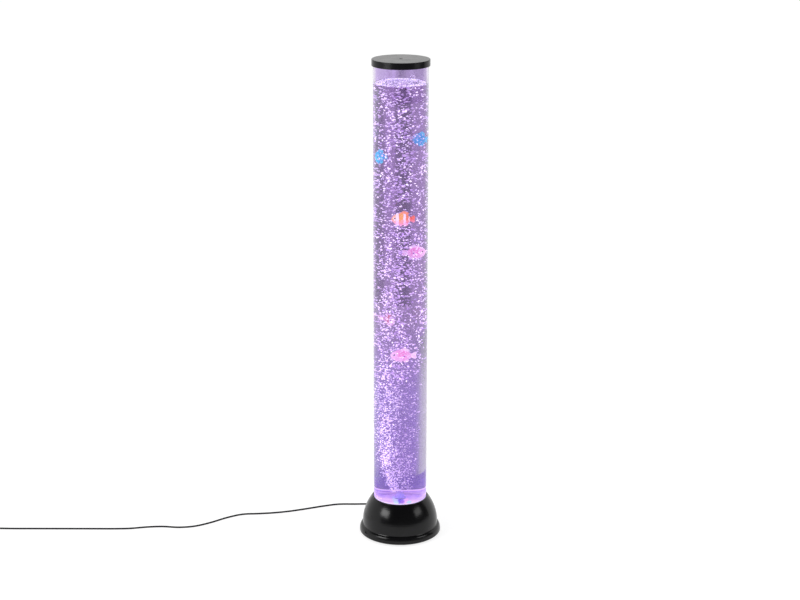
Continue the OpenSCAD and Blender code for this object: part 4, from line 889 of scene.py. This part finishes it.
def bubble_places(count, low, high, gaps, sizes, in_stream):
    """Bubble centres in the water: a stream that leans left over the head, wide higher up, with clumps and gaps.

    Heights and sizes are in mm, gaps is the threshold under which the clumping leaves water free, and in_stream is
    the share of the bubbles that keep to the stream.
    """
    places, radii = [], []
    tries = 0
    while len(places) < count and tries < count * 60:
        tries += 1
        z = rng.uniform(low, high)
        if rng.random() < in_stream:
            spread_ = lerp(3.5, 18, (z - 92) / 200)
            x, y = (v + rng.normal(0, spread_) for v in stream_at(z))
        else:
            left = lerp(-14, -50, (z - 91) / 120)
            right = lerp(20, 30, (z - 91) / 120) + lerp(0, 20, (z - 290) / 160)
            a, r = rng.uniform(0, 2 * math.pi), math.sqrt(rng.uniform(0, 1))
            x, y = (left + right) / 2 + (right - left) / 2 * r * math.cos(a), (right - left) / 2 * r * math.sin(a)
        size = rng.uniform(*sizes) if rng.random() < 0.9 else rng.uniform(sizes[1], sizes[1] * 1.35)
        size *= lerp(0.7, 1.0, (z - 92) / 70)
        off_axis = math.hypot(x, y)
        if off_axis > STILL_R - size or (z < HEAD_TOP and off_axis < HEAD_R):
            continue
        lump = noise.noise(Vector((x * 0.055, y * 0.055, z * 0.03)))
        lump += 0.35 * noise.noise(Vector((x * 0.16, y * 0.16, z * 0.12)))
        if lump < gaps + rng.uniform(-0.3, 0.3):
            continue
        if in_lane(x * MM, y * MM, size * MM):
            continue
        places.append((x * MM, y * MM, z * MM))
        radii.append(size * MM)
    return np.array(places), np.array(radii)


for name, count, low, high, gaps, sizes, in_stream, look in (
    ("bubbles_plume", 2450, 93, 330, -0.35, (0.8, 1.35), 0.34, bubbles_low),
    ("bubbles_middle", 2480, 330, 660, -0.2, (1.0, 1.9), 0.12, bubbles_mid),
    ("bubbles_upper", 1750, 660, 949, -0.1, (1.1, 2.1), 0.0, bubbles_high),
):
    places, radii = bubble_places(count, low, high, gaps, sizes, in_stream)
    o = add_object(name, bubble_mesh(name, places, radii))
    o.data.materials.append(look.material)

foam_at, foam_r = [], []
FOAM_R, FOAM_Z = 51.2, 953
while len(foam_at) < 420:
    a = rng.uniform(0, 2 * math.pi)
    r = FOAM_R - abs(rng.normal(0, 7)) if rng.random() < 0.8 else rng.uniform(0, 48)
    s = rng.uniform(0.7, 1.6)
    x, y = (r - s) * math.cos(a), (r - s) * math.sin(a)
    if r < 5 or math.hypot(x, y) > FOAM_R - s:
        continue
    foam_at.append((x * MM, y * MM, (FOAM_Z + rng.uniform(-0.6, 0.5)) * MM))
    foam_r.append(s * MM)
foam = add_object("bubbles_foam", bubble_mesh("bubbles_foam", np.array(foam_at), np.array(foam_r), (0.7, 1.0), 0.2))
foam.data.materials.append(foam_look.material)

# ------------------------------------------------------------------ floor, light

world = bpy.data.worlds.new("world")
scene.world = world
world.use_nodes = True
tree = world.node_tree
tree.nodes.clear()


def shows_white(tree):
    """1 for the rays that see the white background: camera, glossy and transmission."""
    rays = add_node(tree, "ShaderNodeLightPath").outputs
    either = add_node(tree, "ShaderNodeMath", {0: rays["Is Camera Ray"], 1: rays["Is Glossy Ray"]}, operation="MAXIMUM")
    inputs = {0: either.outputs[0], 1: rays["Is Transmission Ray"]}
    return add_node(tree, "ShaderNodeMath", inputs, operation="MAXIMUM").outputs[0]


plain = add_node(tree, "ShaderNodeBackground", {"Color": (1, 1, 1, 1), "Strength": 0.7})
seen = add_node(tree, "ShaderNodeBackground", {"Color": (1, 1, 1, 1), "Strength": 1.0})
sky = add_node(tree, "ShaderNodeMixShader", {0: shows_white(tree), 1: plain.outputs[0], 2: seen.outputs[0]})
add_node(tree, "ShaderNodeOutputWorld", {"Surface": sky.outputs[0]})


def one_face(name, x, y, z, material, seen_by=None):
    """A level rectangle of the stage, from its ends along x and y."""
    corners = [(x[0], y[0], z), (x[1], y[0], z), (x[1], y[1], z), (x[0], y[1], z)]
    o = add_object(name, mesh_from(name, corners, [(0, 1, 2, 3)], False), None)
    o.data.materials.append(material)
    if seen_by:
        seen_only_by(o, seen_by)


def seen_only_by(o, kind):
    o.visible_camera = o.visible_diffuse = o.visible_shadow = o.visible_volume_scatter = False
    o.visible_glossy = kind == "glossy"
    o.visible_transmission = kind == "transmission"


# The floor is white paper for the rays that see the background, with the lamp's shadow on it
floor_material = bpy.data.materials.new("floor_paper")
floor_material.use_nodes = True
tree = floor_material.node_tree
tree.nodes.clear()
paper = add_node(tree, "ShaderNodeBsdfDiffuse", {"Color": (0.36, 0.36, 0.36, 1)})
shine = add_node(tree, "ShaderNodeEmission", {"Strength": 0.77})
seen = add_node(tree, "ShaderNodeAddShader", {0: paper.outputs[0], 1: shine.outputs[0]})
pale = add_node(tree, "ShaderNodeBsdfDiffuse", {"Color": (0.8, 0.8, 0.8, 1)})
both = add_node(tree, "ShaderNodeMixShader", {0: shows_white(tree), 1: pale.outputs[0], 2: seen.outputs[0]})
add_node(tree, "ShaderNodeOutputMaterial", {"Surface": both.outputs[0]})
one_face("floor", (-60, 60), (-60, 60), 0, floor_material)


def glow_only(look, colour, strength):
    """Makes a stage material that only shines, without lighting anything."""
    lamp = look.node("ShaderNodeEmission", {"Color": colour, "Strength": strength})
    look.show(lamp)
    look.material.cycles.emission_sampling = "NONE"
    return lamp


def card(name, line, colour, strength, seen_by, across=None, upwards=None, fade=None):
    """A studio flat over a line of (x, y, low, high) points that only one kind of ray sees.

    across and upwards are lists of (degrees round the lamp or height, factor) that shade it softly, and fade is one
    of (degrees, how solid the card is).
    """
    verts, faces = [], []
    for x, y, low, high in line:
        verts += [(x, y, low), (x, y, high)]
    for i in range(len(line) - 1):
        faces.append((2 * i, 2 * i + 2, 2 * i + 3, 2 * i + 1))
    o = add_object(name, mesh_from(name, verts, faces, False), None)
    look = Look(name, (0, 0, 0))
    at = look.parts()
    turn = look.math("ARCTAN2", look.math("MULTIPLY", at["X"], -1.0), at["Y"])
    power = strength
    if across:
        power = look.math("MULTIPLY", shaded(look, turn, in_radians(across)), power)
    if upwards:
        power = look.math("MULTIPLY", shaded(look, at["Z"], upwards), power)
    lamp = glow_only(look, (*colour, 1.0), power)
    if fade:
        clear = look.node("ShaderNodeBsdfTransparent")
        solid = shaded(look, turn, in_radians(fade))
        look.show(look.node("ShaderNodeMixShader", {0: solid, 1: clear.outputs[0], 2: lamp.outputs[0]}))
    o.data.materials.append(look.material)
    seen_only_by(o, seen_by)
    return o


def in_radians(stops):
    return [(math.radians(degrees), factor) for degrees, factor in stops]


def shaded(look, value, stops):
    """A soft grey ramp over a value, from (value, factor) stops; factors go up to 4."""
    low, high = stops[0][0], stops[-1][0]
    ramp = [((v - low) / (high - low), (f / 4, f / 4, f / 4)) for v, f in stops]
    grey = look.ramp(look.remap(value, 0.0, 1.0, low, high), ramp, "EASE")
    return look.math("MULTIPLY", grey, 4.0)


def arc(radius, start, end, low, high, steps=24):
    """Points round the lamp; angles in degrees from straight behind it towards its left."""
    line = []
    for i in range(steps + 1):
        a = math.radians(start + (end - start) * i / steps)
        line.append((-radius * math.sin(a), radius * math.cos(a), low, high))
    return line


# The dark room in front of and over the lamp, for what the black plastic and the tube reflect
room = card("dark_room_front", arc(5.0, 118, 360 - 75, 0.02, 4.2, 40), (1, 1, 1), 0.026, "glossy")
one_face("dark_room_roof", (-6, 6), (-6, 2.5), 4.1, room.data.materials[0], "glossy")

# Flats behind the lamp, seen only through the water: they give its upright bands and the pale strip
card("flat_strip_low", arc(0.29, 12, 84, 0.013, 0.34), (0.64, 0.90, 0.53), 2.25, "transmission",
     upwards=[(0.0, 1.0), (0.2, 1.0), (0.34, 0.55)], fade=[(12, 0.0), (17, 0.25), (24, 0.85), (32, 1.0), (84, 1.0)])
card("flat_strip_high", arc(0.29, 28, 84, 0.34, 0.9), (0.66, 0.95, 0.55), 2.3, "transmission",
     upwards=[(0.34, 0.6), (0.6, 0.6), (0.75, 0.8), (0.9, 0.95)], fade=[(28, 0.0), (42, 1.0), (84, 1.0)])
card("flat_bands", arc(1.66, -48, 44, 0.0, 0.665, 60), (0.94, 0.86, 0.98), 0.84, "transmission",
     across=[(-48, 1.0), (-38, 0.5), (-22, 0.6), (-15, 1.15), (-7, 1.2), (-3.5, 0.45), (4, 0.28), (9, 0.5),
             (13, 1.1), (26, 1.05), (44, 0.9)])
card("flat_air", arc(1.66, -14, 14, 0.665, 0.95, 24), (0.66, 0.55, 0.80), 1.0, "transmission",
     across=[(-14, 0.8), (-3, 0.74), (-2.2, 0.86), (-1.3, 0.78), (-0.5, 0.6), (0.1, 0.5), (0.6, 0.8), (1.3, 1.15),
             (2.0, 0.95), (3, 1.0), (14, 1.1)])

# The lamp's own light on the floor behind it, as the water shows it
pool_look = Look("glow_pool", (0, 0, 0))
pool_stops = [
    (0.0, (0.30, 0.22, 0.72)), (0.085, (0.34, 0.25, 0.78)), (0.105, (0.58, 0.52, 0.96)), (0.5, (0.64, 0.60, 0.96)),
    (1.0, (0.62, 0.60, 0.64)),
]
reach = pool_look.remap(pool_look.length(pool_look.place()), 0.0, 1.0, 0.2, 1.5)
glow_only(pool_look, pool_look.ramp(reach, pool_stops), 1.35)
one_face("glow_pool", (-1.4, 1.4), (0.1, 1.6), 0.001, pool_look.material, "transmission")


def softbox(name, where, size, power, aim):
    data = bpy.data.lights.new(name, "AREA")
    data.shape = "RECTANGLE"
    data.size, data.size_y = size
    data.energy = power
    o = bpy.data.objects.new(name, data)
    scene.collection.objects.link(o)
    o.location = where
    o.rotation_euler = (Vector(aim) - Vector(where)).to_track_quat("-Z", "Y").to_euler()
    o.visible_camera = False


softbox("softbox_left", (-1.66, -1.20, 1.02), (1.0, 0.62), 17.5, (0, 0, 0.07))
softbox("softbox_right", (1.95, -0.85, 1.02), (0.95, 0.62), 6.5, (0, 0, 0.07))

# ------------------------------------------------------------------ end

bpy.context.view_layer.update()
